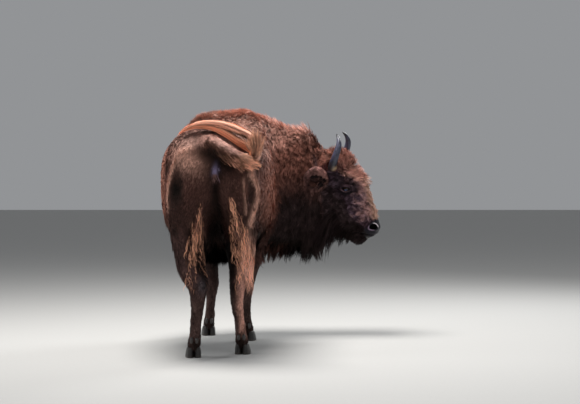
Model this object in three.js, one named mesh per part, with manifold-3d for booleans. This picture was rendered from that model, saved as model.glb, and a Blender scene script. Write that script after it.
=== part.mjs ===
// A European bison cow, life size, standing still on four feet and looking back over its right side.
// Millimetres, +Z up, the floor at z = 0. The animal walks towards -Y, so its left side is +X.
// The solids reach to the tips of the coat. Flesh is one whole, parted by thin cuts; horns, eyes, hooves and
// hanging hair are pieces of their own.
import * as THREE from "three";
import { mergeVertices } from "three/addons/utils/BufferGeometryUtils.js";
import Module from "manifold-3d";

const wasm = await Module();
wasm.setup();

// ---- Driving dimensions -------------------------------------------------------------------------
const GAP = 0.4; // room between pieces that meet
const SMOOTHED = 2; // how far the joined flesh may move when its small faces are merged
const HAIR_GAP = GAP + SMOOTHED; // room between flesh and hanging hair
const WITHERS = 1492; // highest point of the shoulder hump
const CROUP = 1345; // highest point over the hips
const BELLY = 552; // lowest point of the barrel
const BARREL_HALF = 358; // half width of the barrel
const HIP_HALF = 288; // half width over the hips
const LEG_CUT_FRONT = 532; // level of the cut across the forearm

const HEAD_AT = new THREE.Vector3(-751, -700, 1166); // the poll, between the horns
const HEAD_TURN = -96.5; // degrees about Z: the face looks to the animal's right and a little back
const HEAD_PITCH = 58; // degrees that the face hangs below level
const HEAD_ROLL = -12; // degrees about the length of the face: its left side is the higher

const EYE = { half: 25, out: 96, along: 209, rise: -21 };
const EAR_LENGTH = 130;
const HORN_BASE = 33; // half thickness where a horn leaves the hair
const HOOF = { halfWidth: 23, halfLength: 56, height: 60, cleft: 7 };

const COLOURS = {
  trunk: 0x5d4032,
  dark: 0x3c2a23,
  mane: 0x493026,
  tuft: 0x8a5a34,
  horn: 0x3a3838,
  hoof: 0x2c2826,
  eye: 0x14100e,
};

// ---- Making shapes ------------------------------------------------------------------------------
const lerpPower = (value, power) => Math.sign(value) * Math.abs(value) ** power;

// A closed tube through stations. A station has `at`, half width `w`, and reaches `up` and `down` at
// right angles to that. `square` under 1 makes the section boxier, `pinch` over 0 narrows its top and
// widens its bottom. Sections stand along `upward` where it's given, or else square to the line with
// their width along `side`.
function tube(stations, { side, upward, sides = 16, rings = 16, grow = 0 }) {
  const curveOf = (pick) => new THREE.CatmullRomCurve3(stations.map(pick), false, "catmullrom", 0.5);
  const line = curveOf((s) => s.at);
  const sizes = curveOf((s) => new THREE.Vector3(s.w, s.up, s.down ?? s.up));
  const forms = curveOf((s) => new THREE.Vector3(s.square ?? 1, s.pinch ?? 0, 0));
  const geometry = new THREE.CylinderGeometry(1, 1, 1, sides, rings);
  const place = geometry.attributes.position;
  const point = new THREE.Vector3();
  for (let i = 0; i < place.count; i++) {
    point.fromBufferAttribute(place, i);
    const t = THREE.MathUtils.clamp(0.5 - point.y, 0, 1);
    const onRing = Math.hypot(point.x, point.z) > 0.5 ? 1 : 0;
    const angle = Math.atan2(point.z, point.x);
    const centre = line.getPoint(t);
    const along = line.getTangent(t);
    const across = upward
      ? new THREE.Vector3().crossVectors(upward, along).normalize()
      : side.clone().addScaledVector(along, -side.dot(along)).normalize();
    const raised = upward ?? new THREE.Vector3().crossVectors(along, across).normalize();
    const size = sizes.getPoint(t);
    const form = forms.getPoint(t);
    const rise = lerpPower(Math.sin(angle), form.x);
    const reach = lerpPower(Math.cos(angle), form.x) * (1 - form.y * rise);
    const height = (rise > 0 ? size.y : size.z) + grow;
    centre.addScaledVector(across, onRing * reach * (size.x + grow));
    centre.addScaledVector(raised, onRing * rise * height);
    if (t < 1e-6) centre.addScaledVector(along, -grow);
    if (t > 1 - 1e-6) centre.addScaledVector(along, grow);
    place.setXYZ(i, centre.x, centre.y, centre.z);
  }
  return geometry;
}

// A ball with three half sizes.
function ball(at, half, sides = 14, rings = 10) {
  return new THREE.SphereGeometry(1, sides, rings).scale(half.x, half.y, half.z).translate(at.x, at.y, at.z);
}

// The manifold solid of a geometry, turned to face out if it was mirrored or wound the other way.
function solid(geometry, matrix = null) {
  const bare = new THREE.BufferGeometry()
    .setAttribute("position", geometry.attributes.position.clone())
    .setIndex(geometry.index.clone());
  if (matrix) bare.applyMatrix4(matrix);
  const merged = mergeVertices(bare, 1e-3);
  const triVerts = new Uint32Array(merged.index.array);
  const vertProperties = merged.attributes.position.array;
  const build = () => new wasm.Manifold(new wasm.Mesh({ numProp: 3, vertProperties, triVerts }));
  const made = build();
  if (made.volume() > 0) return made;
  for (let i = 0; i < triVerts.length; i += 3) {
    [triVerts[i + 1], triVerts[i + 2]] = [triVerts[i + 2], triVerts[i + 1]];
  }
  return build();
}

const joined = (solids) => solids.reduce((a, b) => a.add(b));
const without = (base, cutters) => cutters.reduce((a, b) => a.subtract(b), base);

// The largest body of a solid: a cut can leave crumbs.
function largest(made) {
  return made.decompose().reduce((a, b) => (b.volume() > a.volume() ? b : a));
}

function meshOf(name, made, colour, roughness = 0.9) {
  const { numProp, vertProperties, triVerts } = made.simplify(0.03).getMesh();
  const places = new Float32Array((vertProperties.length / numProp) * 3);
  for (let i = 0; i < places.length / 3; i++) {
    places.set(vertProperties.subarray(i * numProp, i * numProp + 3), i * 3);
  }
  const geometry = new THREE.BufferGeometry()
    .setAttribute("position", new THREE.BufferAttribute(places, 3))
    .setIndex(new THREE.BufferAttribute(triVerts, 1));
  geometry.computeVertexNormals();
  const material = new THREE.MeshStandardMaterial({ color: colour, roughness, metalness: 0 });
  const mesh = new THREE.Mesh(geometry, material);
  mesh.name = name;
  return mesh;
}

// A thin slab that parts what it passes through. `normal` is the direction across the cut.
function slab(at, normal, width, height) {
  const turn = new THREE.Quaternion().setFromUnitVectors(SKYWARD, normal.clone().normalize());
  const matrix = new THREE.Matrix4().compose(at, turn, new THREE.Vector3(1, 1, 1));
  return solid(block(width, height, GAP), matrix);
}

const v = (x, y, z) => new THREE.Vector3(x, y, z);
const LEFTWARD = v(1, 0, 0);
const FORWARD = v(0, -1, 0);
const SKYWARD = v(0, 0, 1);
const block = (width, depth, height) =>
  mergeVertices(new THREE.BoxGeometry(width, depth, height).deleteAttribute("normal").deleteAttribute("uv"));
const belowFloor = solid(block(3000, 3000, 200).translate(0, 0, -100));

// ---- Trunk --------------------------------------------------------------------------------------
// Upright sections from the buttocks to the chest. `x` is where the spine bends to the right.
function trunkTube(grow = 0) {
  const section = (y, x, top, bottom, w, square = 0.8, pinch = 0) => {
    const middle = THREE.MathUtils.lerp(bottom, top, 0.6);
    return { at: v(x, y, middle), w, up: top - middle, down: middle - bottom, square, pinch };
  };
  const stations = [
    section(660, 0, 1186, 1070, 60, 1),
    section(646, 0, 1230, 1020, 140, 0.95),
    section(600, 0, 1292, 940, 210, 0.9),
    section(510, 0, 1332, 840, 262, 0.82),
    section(390, 0, CROUP, 740, HIP_HALF, 0.75),
    section(240, 0, CROUP, 655, 306, 0.72),
    section(60, 0, 1338, 574, 340, 0.72),
    section(-140, 0, 1352, BELLY, BARREL_HALF, 0.74),
    section(-300, -10, 1412, 553, 350, 0.8, 0.04),
    section(-430, -38, 1476, 558, 330, 0.84, 0.08),
    section(-550, -80, WITHERS, 560, 302, 0.86, 0.1),
    section(-655, -128, 1466, 570, 272, 0.9, 0.08),
    section(-725, -185, 1405, 592, 230, 0.95, 0.05),
    section(-765, -255, 1310, 640, 175, 1),
    section(-782, -325, 1210, 720, 115, 1),
    section(-786, -380, 1120, 820, 55, 1),
  ];
  return solid(tube(stations, { upward: SKYWARD, sides: 24, rings: 21, grow }));
}

// ---- Neck ---------------------------------------------------------------------------------------
// Upright sections from inside the chest round to the nape.
function neckTube(grow = 0) {
  const section = (x, y, top, bottom, w, pinch) => {
    const middle = (top + bottom) / 2;
    return { at: v(x, y, middle), w, up: top - middle, down: middle - bottom, square: 0.95, pinch };
  };
  const stations = [
    section(-60, -480, 1400, 640, 215, 0.1),
    section(-190, -600, 1470, 600, 226, 0.12),
    section(-330, -680, 1440, 580, 210, 0.05),
    section(-470, -714, 1372, 585, 178, -0.05),
    section(-600, -736, 1300, 610, 122, -0.05),
    section(-700, -724, 1225, 660, 98, 0),
    section(-770, -712, 1160, 760, 70, 0),
  ];
  return solid(tube(stations, { upward: SKYWARD, sides: 20, rings: 9, grow }));
}

// ---- Head ---------------------------------------------------------------------------------------
// The head's own frame has its origin at the poll, -Y along the face to the muzzle, +Z out of the forehead.
const headGroup = new THREE.Group();
headGroup.position.copy(HEAD_AT);
headGroup.rotation.set(
  THREE.MathUtils.degToRad(HEAD_PITCH),
  THREE.MathUtils.degToRad(HEAD_ROLL),
  THREE.MathUtils.degToRad(HEAD_TURN),
  "ZXY",
);
headGroup.updateMatrix();

const onHead = (out, along, rise) => v(out, -along, rise);
const faceSection = (along, top, bottom, w, square = 0.95, pinch = 0) => {
  const middle = (top + bottom) / 2;
  return { at: onHead(0, along, middle), w, up: top - middle, down: middle - bottom, square, pinch };
};

function skullTube(grow = 0) {
  const stations = [
    faceSection(-75, 40, -110, 60),
    faceSection(-40, 76, -140, 100),
    faceSection(20, 104, -165, 120),
    faceSection(100, 118, -170, 126, 0.92, 0.04),
    faceSection(180, 114, -165, 121, 0.9, 0.02),
    faceSection(250, 100, -150, 102, 0.9),
    faceSection(330, 82, -145, 80, 0.92),
    faceSection(410, 54, -140, 67, 0.92),
    faceSection(470, 30, -136, 62, 0.88),
    faceSection(515, 14, -128, 62, 0.82),
    faceSection(545, -4, -114, 56, 0.8),
    faceSection(562, -28, -98, 38, 0.85),
  ];
  return tube(stations, { upward: SKYWARD, sides: 18, rings: 15, grow });
}

function jawTube(grow = 0) {
  const stations = [
    faceSection(20, -50, -170, 60),
    faceSection(60, -40, -215, 98),
    faceSection(140, -30, -246, 118),
    faceSection(230, -50, -246, 112),
    faceSection(330, -70, -232, 88),
    faceSection(420, -80, -220, 66),
    faceSection(490, -86, -208, 52, 0.9),
    faceSection(535, -94, -190, 47, 0.85),
    faceSection(560, -106, -162, 32, 0.9),
  ];
  return tube(stations, { upward: SKYWARD, sides: 14, rings: 10, grow });
}

// The brow over each eye and the woolly cap between the horns.
function browBalls() {
  const brow = (s) => ball(onHead(s * 88, 178, 8), v(34, 62, 40), 10, 6);
  const cap = ball(onHead(0, 70, 58), v(104, 130, 62), 14, 8);
  return [brow(1), brow(-1), cap];
}

// A comma-shaped cup at the front corner of the muzzle, its long way rising towards the nose.
const NOSTRIL = { out: 50, along: 513, rise: -15, deep: 18, tall: 19, long: 29 };
function nostril(s) {
  const { out, along, rise, deep, tall, long } = NOSTRIL;
  const length = v(-s * 0.53, -0.5, 0.69).normalize();
  const height = new THREE.Vector3().crossVectors(length, v(s, 0.15, 0.35)).normalize();
  const depth = new THREE.Vector3().crossVectors(height, length);
  const turn = new THREE.Matrix4().makeBasis(depth, height, length);
  const cup = ball(v(0, 0, 0), v(deep, tall, long), 8, 6).applyMatrix4(turn);
  return solid(cup.translate(s * out, -along, rise));
}

// The line between the lips, from the front of the muzzle back to the corner of the mouth.
function mouthCut() {
  const line = block(160, 116, 4);
  line.rotateX(THREE.MathUtils.degToRad(-47));
  return solid(line.translate(0, -518, -104));
}

function eyeBall(s, grow = 0) {
  const { half, out, along, rise } = EYE;
  return solid(ball(onHead(s * out, along, rise), v(half + grow, half + grow, half + grow), 10, 8));
}

function horn(s, grow = 0) {
  const at = (out, along, rise, thick) => ({ at: onHead(s * out, along, rise), w: thick, up: thick });
  const stations = [
    at(76, 54, -32, HORN_BASE + 2),
    at(106, 41, -18, HORN_BASE),
    at(124, 15, 14, 29),
    at(128, -15, 56, 24),
    at(119, -54, 97, 18),
    at(98, -94, 112, 11),
    at(74, -127, 110, 3.5),
  ];
  return solid(tube(stations, { side: v(0, 1, 0), sides: 10, rings: 11, grow }));
}

// A cupped leaf: an outer tube less a scoop that opens outward and towards the face.
function ear(s, grow = 0) {
  const root = onHead(s * 108, 98, -118);
  const line = v(s * 0.66, 0.5, -0.56).multiplyScalar(EAR_LENGTH);
  const open = v(s * 0.75, -0.44, 0.49);
  const side = v(0, 0.73, 0.67);
  const leaf = (shares, shift) =>
    shares.map(([share, w, up]) => ({
      at: root.clone().addScaledVector(line, share).addScaledVector(open, shift),
      w,
      up,
    }));
  const outer = leaf(
    [[-0.25, 24, 20], [0.05, 32, 22], [0.35, 51, 22], [0.65, 56, 18], [0.9, 38, 12], [1.04, 13, 7]],
    0,
  );
  const body = solid(tube(outer, { side, sides: 10, rings: 6, grow }));
  if (grow > 0) return body;
  const inner = leaf([[0.14, 12, 10], [0.4, 35, 20], [0.65, 41, 17], [0.88, 22, 10]], 14);
  return largest(body.subtract(solid(tube(inner, { side, sides: 8, rings: 5 }))));
}

// Hair that hangs under a line: each section is wide where it leaves the skin and thin at its tips.
function fringe(sections, grow, sides, rings) {
  const stations = sections.map(([x, y, top, bottom, w]) => {
    const middle = THREE.MathUtils.lerp(bottom, top, 0.65);
    return { at: v(x, y, middle), w, up: top - middle, down: middle - bottom, pinch: -0.35 };
  });
  return solid(tube(stations, { upward: SKYWARD, sides, rings, grow }));
}

// Hair of the chin and the angle of the jaw.
const beardTube = (grow = 0) =>
  fringe(
    [
      [-712, -696, 780, 570, 30], [-745, -690, 780, 526, 42], [-795, -680, 755, 534, 44],
      [-845, -668, 715, 580, 36], [-885, -658, 684, 615, 20],
    ],
    grow,
    12,
    7,
  );

// The long fringe under the throat and the neck.
const maneTube = (grow = 0) =>
  fringe(
    [
      [-260, -600, 690, 530, 34], [-340, -656, 690, 494, 52], [-440, -705, 690, 488, 56],
      [-540, -722, 700, 492, 54], [-640, -720, 720, 500, 46], [-700, -706, 740, 535, 32],
    ],
    grow,
    12,
    9,
  );

// ---- Legs ---------------------------------------------------------------------------------------
// A joint is [x, y, z, half width, half depth in front of and behind the bone].
const legStations = (joints) =>
  joints.map(([x, y, z, w, deep, square = 1]) => ({ at: v(x, y, z), w, up: deep, square }));

const HIND_LEFT = [
  [106, 400, 1240, 50, 110], [112, 400, 1195, 92, 190], [122, 400, 1110, 120, 236],
  [136, 396, 1010, 132, 258, 0.9], [148, 398, 860, 134, 246, 0.9], [146, 412, 730, 120, 206],
  [134, 452, 620, 98, 150], [116, 510, 530, 80, 100], [92, 570, 452, 65, 74],
  [80, 588, 395, 55, 64], [84, 578, 320, 43, 50], [92, 560, 230, 35, 38],
  [98, 548, 150, 36, 41], [104, 532, 110, 40, 44], [108, 514, 74, 36, 40],
  [112, 502, 40, 32, 34],
];
const HIND_RIGHT = [
  [-106, 350, 1240, 50, 110], [-112, 350, 1195, 92, 190], [-122, 348, 1110, 120, 236],
  [-138, 334, 1010, 132, 252, 0.9], [-152, 330, 860, 132, 238, 0.9], [-156, 338, 730, 116, 196],
  [-158, 362, 620, 92, 140], [-156, 408, 530, 70, 92], [-146, 448, 452, 55, 70],
  [-140, 454, 395, 49, 60], [-138, 438, 315, 41, 47], [-150, 408, 225, 33, 36],
  [-158, 386, 150, 34, 40], [-163, 366, 110, 39, 44], [-166, 348, 74, 36, 40],
  [-168, 336, 40, 32, 34],
];
const FRONT_LEFT = [
  [104, -480, 1080, 60, 110], [104, -480, 990, 112, 186], [102, -505, 830, 120, 178],
  [92, -535, 660, 92, 130], [76, -575, 520, 66, 84], [62, -618, 415, 50, 58],
  [58, -640, 345, 47, 53], [62, -652, 290, 38, 44], [70, -664, 205, 30, 34],
  [76, -676, 140, 35, 40], [80, -690, 104, 37, 42], [84, -704, 72, 34, 38],
  [86, -716, 40, 31, 33],
];
const FRONT_RIGHT = [
  [-246, -450, 1080, 60, 110], [-246, -450, 990, 110, 186], [-248, -448, 830, 114, 178],
  [-238, -440, 660, 88, 128], [-216, -425, 520, 63, 82], [-190, -400, 415, 48, 58],
  [-178, -385, 345, 45, 53], [-174, -378, 290, 37, 44], [-171, -368, 205, 30, 34],
  [-172, -366, 140, 34, 40], [-177, -372, 104, 37, 42], [-181, -384, 72, 34, 38],
  [-184, -396, 40, 31, 33],
];

const legTube = (joints, grow = 0) =>
  solid(tube(legStations(joints), { upward: FORWARD, sides: 12, rings: 16, grow }));

// One claw of a cloven hoof, flat underneath. `s` is +1 on the outer side of the animal's left.
function claw(joints, turn, s, grow = 0) {
  const [x, y] = joints[joints.length - 1];
  const { halfWidth, halfLength, height, cleft } = HOOF;
  const out = s * (halfWidth + cleft / 2);
  const stations = [
    { at: v(out * 0.86, 8, height), w: halfWidth - 3, up: halfLength - 20 },
    { at: v(out * 0.96, -6, height * 0.55), w: halfWidth, up: halfLength - 9 },
    { at: v(out, -16, 0), w: halfWidth + 1, up: halfLength, square: 0.9 },
    { at: v(out, -22, -30), w: halfWidth + 1, up: halfLength, square: 0.9 },
  ];
  const geometry = tube(stations, { upward: FORWARD, sides: 10, rings: 3, grow });
  geometry.rotateZ(THREE.MathUtils.degToRad(turn)).translate(x, y, 0);
  return solid(geometry).subtract(belowFloor);
}

// The small claw behind the fetlock.
function dewclaw(joints, s, grow = 0) {
  const [x, y, z] = joints[joints.length - 3];
  const stations = [
    { at: v(x + s * 15, y + 30, z + 12), w: 10 + grow, up: 10 + grow },
    { at: v(x + s * 18, y + 40, z - 2), w: 12 + grow, up: 11 + grow },
    { at: v(x + s * 18, y + 46, z - 22), w: 8 + grow, up: 6 + grow },
  ];
  return solid(tube(stations, { side: LEFTWARD, sides: 6, rings: 2 }));
}

// ---- Tail ---------------------------------------------------------------------------------------
// The dock swings out to the right; its tuft is thrown up and back over the croup to the left hip.
function dockTube(grow = 0) {
  const stations = [
    { at: v(26, 550, 1262), w: 44, up: 44 },
    { at: v(14, 636, 1266), w: 48, up: 48 },
    { at: v(-48, 698, 1224), w: 46, up: 54 },
    { at: v(-124, 722, 1174), w: 44, up: 54 },
    { at: v(-196, 716, 1146), w: 40, up: 48 },
    { at: v(-246, 696, 1152), w: 32, up: 34 },
  ];
  return solid(tube(stations, { side: v(0, 1, 0), sides: 10, rings: 9, grow }));
}

function tuftTube(grow = 0) {
  const stations = [
    { at: v(-236, 700, 1150), w: 26, up: 22 },
    { at: v(-256, 676, 1184), w: 34, up: 24 },
    { at: v(-238, 640, 1246), w: 38, up: 34 },
    { at: v(-190, 606, 1292), w: 40, up: 40 },
    { at: v(-108, 580, 1326), w: 42, up: 38 },
    { at: v(-14, 562, 1346), w: 42, up: 32 },
    { at: v(78, 546, 1350), w: 38, up: 27 },
    { at: v(154, 534, 1330), w: 32, up: 23 },
    { at: v(214, 524, 1290), w: 24, up: 16 },
    { at: v(250, 516, 1248), w: 11, up: 8 },
  ];
  return solid(tube(stations, { side: v(0, 1, 0), sides: 8, rings: 15, grow }));
}

// ---- Assembly -----------------------------------------------------------------------------------
const root = new THREE.Group();
root.add(headGroup);
const add = (name, made, colour, roughness) => root.add(meshOf(name, made, colour, roughness));

const headMatrix = headGroup.matrix;
const headSolid = joined([skullTube(), jawTube(), ...browBalls()].map((g) => solid(g)));
const legs = {
  leg_hind_left: { joints: HIND_LEFT, turn: 8 },
  leg_hind_right: { joints: HIND_RIGHT, turn: -10 },
  leg_front_left: { joints: FRONT_LEFT, turn: 8 },
  leg_front_right: { joints: FRONT_RIGHT, turn: -10 },
};
const feet = Object.entries(legs).flatMap(([name, { joints, turn }]) =>
  [1, -1].flatMap((s) => {
    const end = s > 0 ? "_a" : "_b";
    return [
      { name: name.replace("leg", "hoof") + end, make: (grow) => claw(joints, turn, s, grow) },
      { name: name.replace("leg", "dewclaw") + end, make: (grow) => dewclaw(joints, s, grow) },
    ];
  }),
);

const headWorld = headSolid.transform(headMatrix.elements);
const legSolids = Object.values(legs).map((l) => legTube(l.joints));
const whole = joined([trunkTube(), neckTube(), headWorld, ...legSolids]);
const headPieces = [1, -1].flatMap((s) => {
  const side = s > 0 ? "left" : "right";
  return [
    { name: "eye_" + side, make: (grow) => eyeBall(s, grow), colour: COLOURS.eye, roughness: 0.1 },
    { name: "horn_" + side, make: (grow) => horn(s, grow), colour: COLOURS.horn, roughness: 0.4 },
    { name: "ear_" + side, make: (grow) => ear(s, grow), colour: COLOURS.dark, roughness: 0.9 },
  ];
});

// Where the whole is parted, and a point inside each part.
const hindCut = v(0, -0.45, 1).normalize(); // rises from the flank fold to the buttock
const CUTS = [
  slab(v(0, 400, 690), hindCut, 900, 760),
  slab(v(-60, -540, LEG_CUT_FRONT), v(0, 0, 1), 560, 420),
  slab(v(-262, -662, 1020), v(-0.82, -0.57, 0), 1300, 1300),
  slab(v(-652, -700, 950), v(-1, 0, 0.17), 900, 1100),
];
const PARTS = {
  trunk: { inside: v(0, 100, 1000), colour: COLOURS.trunk },
  neck: { inside: v(-470, -720, 1000), colour: COLOURS.mane },
  head: { inside: HEAD_AT.clone().add(v(-60, 0, -120)), colour: COLOURS.dark },
  leg_hind_left: { inside: v(...HIND_LEFT[6].slice(0, 3)), colour: COLOURS.dark },
  leg_hind_right: { inside: v(...HIND_RIGHT[6].slice(0, 3)), colour: COLOURS.dark },
  leg_front_left: { inside: v(...FRONT_LEFT[6].slice(0, 3)), colour: COLOURS.dark },
  leg_front_right: { inside: v(...FRONT_RIGHT[6].slice(0, 3)), colour: COLOURS.dark },
};
const headCuts = [nostril(1), nostril(-1), mouthCut(), ...headPieces.map((p) => p.make(GAP))];
const parted = without(whole.simplify(SMOOTHED), [
  ...CUTS,
  ...feet.map((f) => f.make(GAP)),
  ...headCuts.map((c) => c.transform(headMatrix.elements)),
]);
const bodies = parted.decompose();
for (const [name, { inside, colour }] of Object.entries(PARTS)) {
  const probe = solid(ball(inside, v(3, 3, 3), 6, 4));
  const body = bodies.find((b) => b.intersect(probe).volume() > 0);
  if (!body) throw new Error("no body holds the point of " + name);
  add(name, body, colour);
}

for (const foot of feet) add(foot.name, foot.make(0), COLOURS.hoof, 0.6);
for (const { name, make, colour, roughness } of headPieces) {
  headGroup.add(meshOf(name, make(0), colour, roughness));
}

const flesh = [
  trunkTube(HAIR_GAP),
  neckTube(HAIR_GAP),
  solid(skullTube(HAIR_GAP), headMatrix),
  solid(jawTube(HAIR_GAP), headMatrix),
];
const thighs = [HIND_LEFT, HIND_RIGHT].map((joints) => legTube(joints, HAIR_GAP));
const forelegs = [FRONT_LEFT, FRONT_RIGHT].map((joints) => legTube(joints, HAIR_GAP));
add("tail_dock", largest(without(dockTube(), [...flesh, ...thighs])), COLOURS.mane);
add("tail_tuft", largest(without(tuftTube(), [dockTube(GAP), ...flesh, ...thighs])), COLOURS.tuft);
add("throat_mane", largest(without(maneTube(), [...flesh, ...forelegs])), COLOURS.mane);
add("beard", largest(without(beardTube(), [...flesh, maneTube(GAP)])), COLOURS.dark);

// The origin is on the floor under the middle of the outline.
root.updateMatrixWorld(true);
const box = new THREE.Box3().setFromObject(root, true);
const middle = box.getCenter(v(0, 0, 0));
const part = new THREE.Group();
root.position.set(-middle.x, -middle.y, -box.min.z);
part.add(root);

export default part;
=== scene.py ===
import math
from contextlib import contextmanager
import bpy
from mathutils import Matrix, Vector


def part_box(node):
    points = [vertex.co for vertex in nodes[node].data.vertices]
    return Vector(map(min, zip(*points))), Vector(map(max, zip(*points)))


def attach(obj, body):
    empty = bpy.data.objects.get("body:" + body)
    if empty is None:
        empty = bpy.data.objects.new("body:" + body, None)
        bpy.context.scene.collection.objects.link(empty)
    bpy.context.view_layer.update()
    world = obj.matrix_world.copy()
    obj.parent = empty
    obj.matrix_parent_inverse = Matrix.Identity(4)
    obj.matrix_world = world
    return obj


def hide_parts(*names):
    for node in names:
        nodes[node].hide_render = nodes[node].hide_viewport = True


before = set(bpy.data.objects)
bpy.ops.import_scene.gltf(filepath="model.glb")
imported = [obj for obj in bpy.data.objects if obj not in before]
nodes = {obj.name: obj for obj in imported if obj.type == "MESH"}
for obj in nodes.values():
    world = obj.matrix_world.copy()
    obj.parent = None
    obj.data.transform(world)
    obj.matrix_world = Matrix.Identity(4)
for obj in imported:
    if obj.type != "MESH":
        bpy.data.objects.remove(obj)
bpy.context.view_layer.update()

from types import SimpleNamespace

import bmesh
import bpy
import numpy as np
from mathutils import Matrix, Vector
from mathutils.bvhtree import BVHTree
from mathutils.kdtree import KDTree

rng = np.random.default_rng(11)

# ---- The two frames that places are given in ----
# "body": metres as the construction was drawn, the animal walking towards -Y, its left side +X.
# "head": (out, along, rise) = to its left, from the poll down the face, out of the forehead.
HEAD_AT = Vector((-0.751, -0.7, 1.166))
TURN = (
    Matrix.Rotation(math.radians(-96.5), 3, "Z")
    @ Matrix.Rotation(math.radians(58), 3, "X")
    @ Matrix.Rotation(math.radians(-12), 3, "Y")
)
EYE = (0.096, 0.209, -0.021)
EYE_RADIUS = 0.025
EYE_TILT = math.radians(54)  # of the line between its corners, up the face
EYE_COS, EYE_SIN = math.cos(EYE_TILT), math.sin(EYE_TILT)


def centre(node):
    lo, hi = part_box(node)
    return (lo + hi) / 2


def head_vector(out, along, rise):
    return TURN @ Vector((out, -along, rise))


EYES = {1: centre("eye_left"), -1: centre("eye_right")}
POLL = (EYES[1] + EYES[-1]) / 2 - head_vector(0, EYE[1], EYE[2])
SHIFT = POLL - HEAD_AT


def on_head(out, along, rise):
    return POLL + head_vector(out, along, rise)


def in_head(points):
    return (points - np.array(POLL)) @ np.array(TURN) * [1, -1, 1]


def in_body(points):
    return points - np.array(SHIFT)


# ---- Small helpers ----
def step(x, lo, hi):
    """0 below lo, 1 above hi, smooth between; lo may be the larger."""
    t = np.clip((x - lo) / (hi - lo), 0, 1)
    return t * t * (3 - 2 * t)


def bump(x, at, width):
    return np.exp(-(((x - at) / width) ** 2))


def unit(a):
    return a / np.maximum(np.linalg.norm(a, axis=-1, keepdims=True), 1e-9)


def colour(r, g, b):
    """A colour on the 0-255 scale of a screen, as the linear one a shader takes."""
    c = np.array([r, g, b]) / 255
    return np.where(c <= 0.04045, c / 12.92, ((c + 0.055) / 1.055) ** 2.4)


def mix(a, b, t):
    t = np.asarray(t)[:, None]
    return a * (1 - t) + b * t


def painted(c, *layers):
    """Lays colours over a first one, each by its share at each place."""
    for tint, share in layers:
        c = mix(c, tint, share)
    return c


def waves(points, size, seed, count=7):
    """Smooth noise of about -1 to 1 whose hills are about `size` across."""
    r = np.random.default_rng(seed)
    k = unit(r.normal(size=(count, 3))) * (2 * np.pi / size) * r.uniform(0.6, 1.5, (count, 1))
    return np.sin(points @ k.T + r.uniform(0, 6.28, count)).sum(1) / math.sqrt(count) / 1.2


def swirl(points, size, seed):
    """The same noise as directions."""
    return np.stack([waves(points, size, seed + i) for i in range(3)], 1)


def read(items, key, width, kind=float):
    """One property of a mesh's items, `width` numbers to a row."""
    out = np.empty(len(items) * width, kind)
    items.foreach_get(key, out)
    return out.reshape(-1, width)


def vertex_places(mesh):
    return read(mesh.vertices, "co", 3)


def edges_of(mesh):
    return read(mesh.edges, "vertices", 2, int)


def triangles_of(mesh):
    mesh.calc_loop_triangles()
    return read(mesh.loop_triangles, "vertices", 3, int)


def halved(quads):
    """Two triangles for each face of four corners."""
    return np.r_[quads[:, [0, 1, 2]], quads[:, [0, 2, 3]]]


def grid_quads(rows, spokes):
    """The faces between rings of points, each ring closed on itself."""
    i, j = np.meshgrid(np.arange(rows - 1), np.arange(spokes), indexing="ij")
    k = (j + 1) % spokes
    quads = [i * spokes + j, i * spokes + k, (i + 1) * spokes + k, (i + 1) * spokes + j]
    return np.stack(quads, -1).reshape(-1, 4)


def turns_of(spokes):
    return np.linspace(0, 2 * np.pi, spokes, endpoint=False)


def normals_of(places, tris):
    a, b, c = (places[tris[:, i]] for i in range(3))
    face = np.cross(b - a, c - a)
    out = np.zeros_like(places)
    for i in range(3):
        for k in range(3):
            out[:, k] += np.bincount(tris[:, i], face[:, k], minlength=len(places))
    return unit(out)


def relax(values, edges, share, times):
    """Moves each value towards the mean of its neighbours."""
    a, b = np.r_[edges[:, 0], edges[:, 1]], np.r_[edges[:, 1], edges[:, 0]]
    count = np.maximum(np.bincount(a, minlength=len(values)), 1)
    values = values.copy()
    for _ in range(times):
        for k in range(values.shape[1]):
            mean = np.bincount(a, values[b, k], minlength=len(values)) / count
            values[:, k] += share * (mean - values[:, k])
    return values


def new_object(name, data):
    obj = bpy.data.objects.new(name, data)
    bpy.context.scene.collection.objects.link(obj)
    return obj


def mesh_from(name, places, faces):
    """A mesh of faces that all have as many corners."""
    mesh = bpy.data.meshes.new(name)
    mesh.vertices.add(len(places))
    mesh.vertices.foreach_set("co", np.asarray(places, np.float32).ravel())
    corners = np.asarray(faces, np.int32)
    mesh.loops.add(corners.size)
    mesh.loops.foreach_set("vertex_index", corners.ravel())
    mesh.polygons.add(len(corners))
    starts = np.arange(len(corners), dtype=np.int32) * corners.shape[1]
    mesh.polygons.foreach_set("loop_start", starts)
    mesh.update(calc_edges=True)
    mesh.shade_smooth()
    return mesh


def write(mesh, name, values):
    """Keeps a value at each vertex: a colour as "tint", any other as a vector."""
    kind, key = ("FLOAT_COLOR", "color") if name == "tint" else ("FLOAT_VECTOR", "vector")
    layer = mesh.attributes.new(name, kind, "POINT")
    values = np.asarray(values, np.float32)
    if name == "tint":
        values = np.concatenate([values, np.ones((len(values), 1), np.float32)], 1)
    layer.data.foreach_set(key, values.ravel())


# ---- Camera ----
PICTURE_WIDTH, FOCAL_LENGTH = 580, 1600  # in pixels of the photo
SENSOR = 36
camera = new_object("camera", bpy.data.cameras.new("camera"))
camera.location = Vector((-0.45, 9.8, 1.12)) + SHIFT
camera.rotation_euler = (math.radians(90 - 1.325), 0, math.pi)
camera.data.sensor_width = SENSOR
camera.data.lens = SENSOR * FOCAL_LENGTH / PICTURE_WIDTH
camera.data.clip_end = 100
bpy.context.scene.camera = camera

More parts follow.
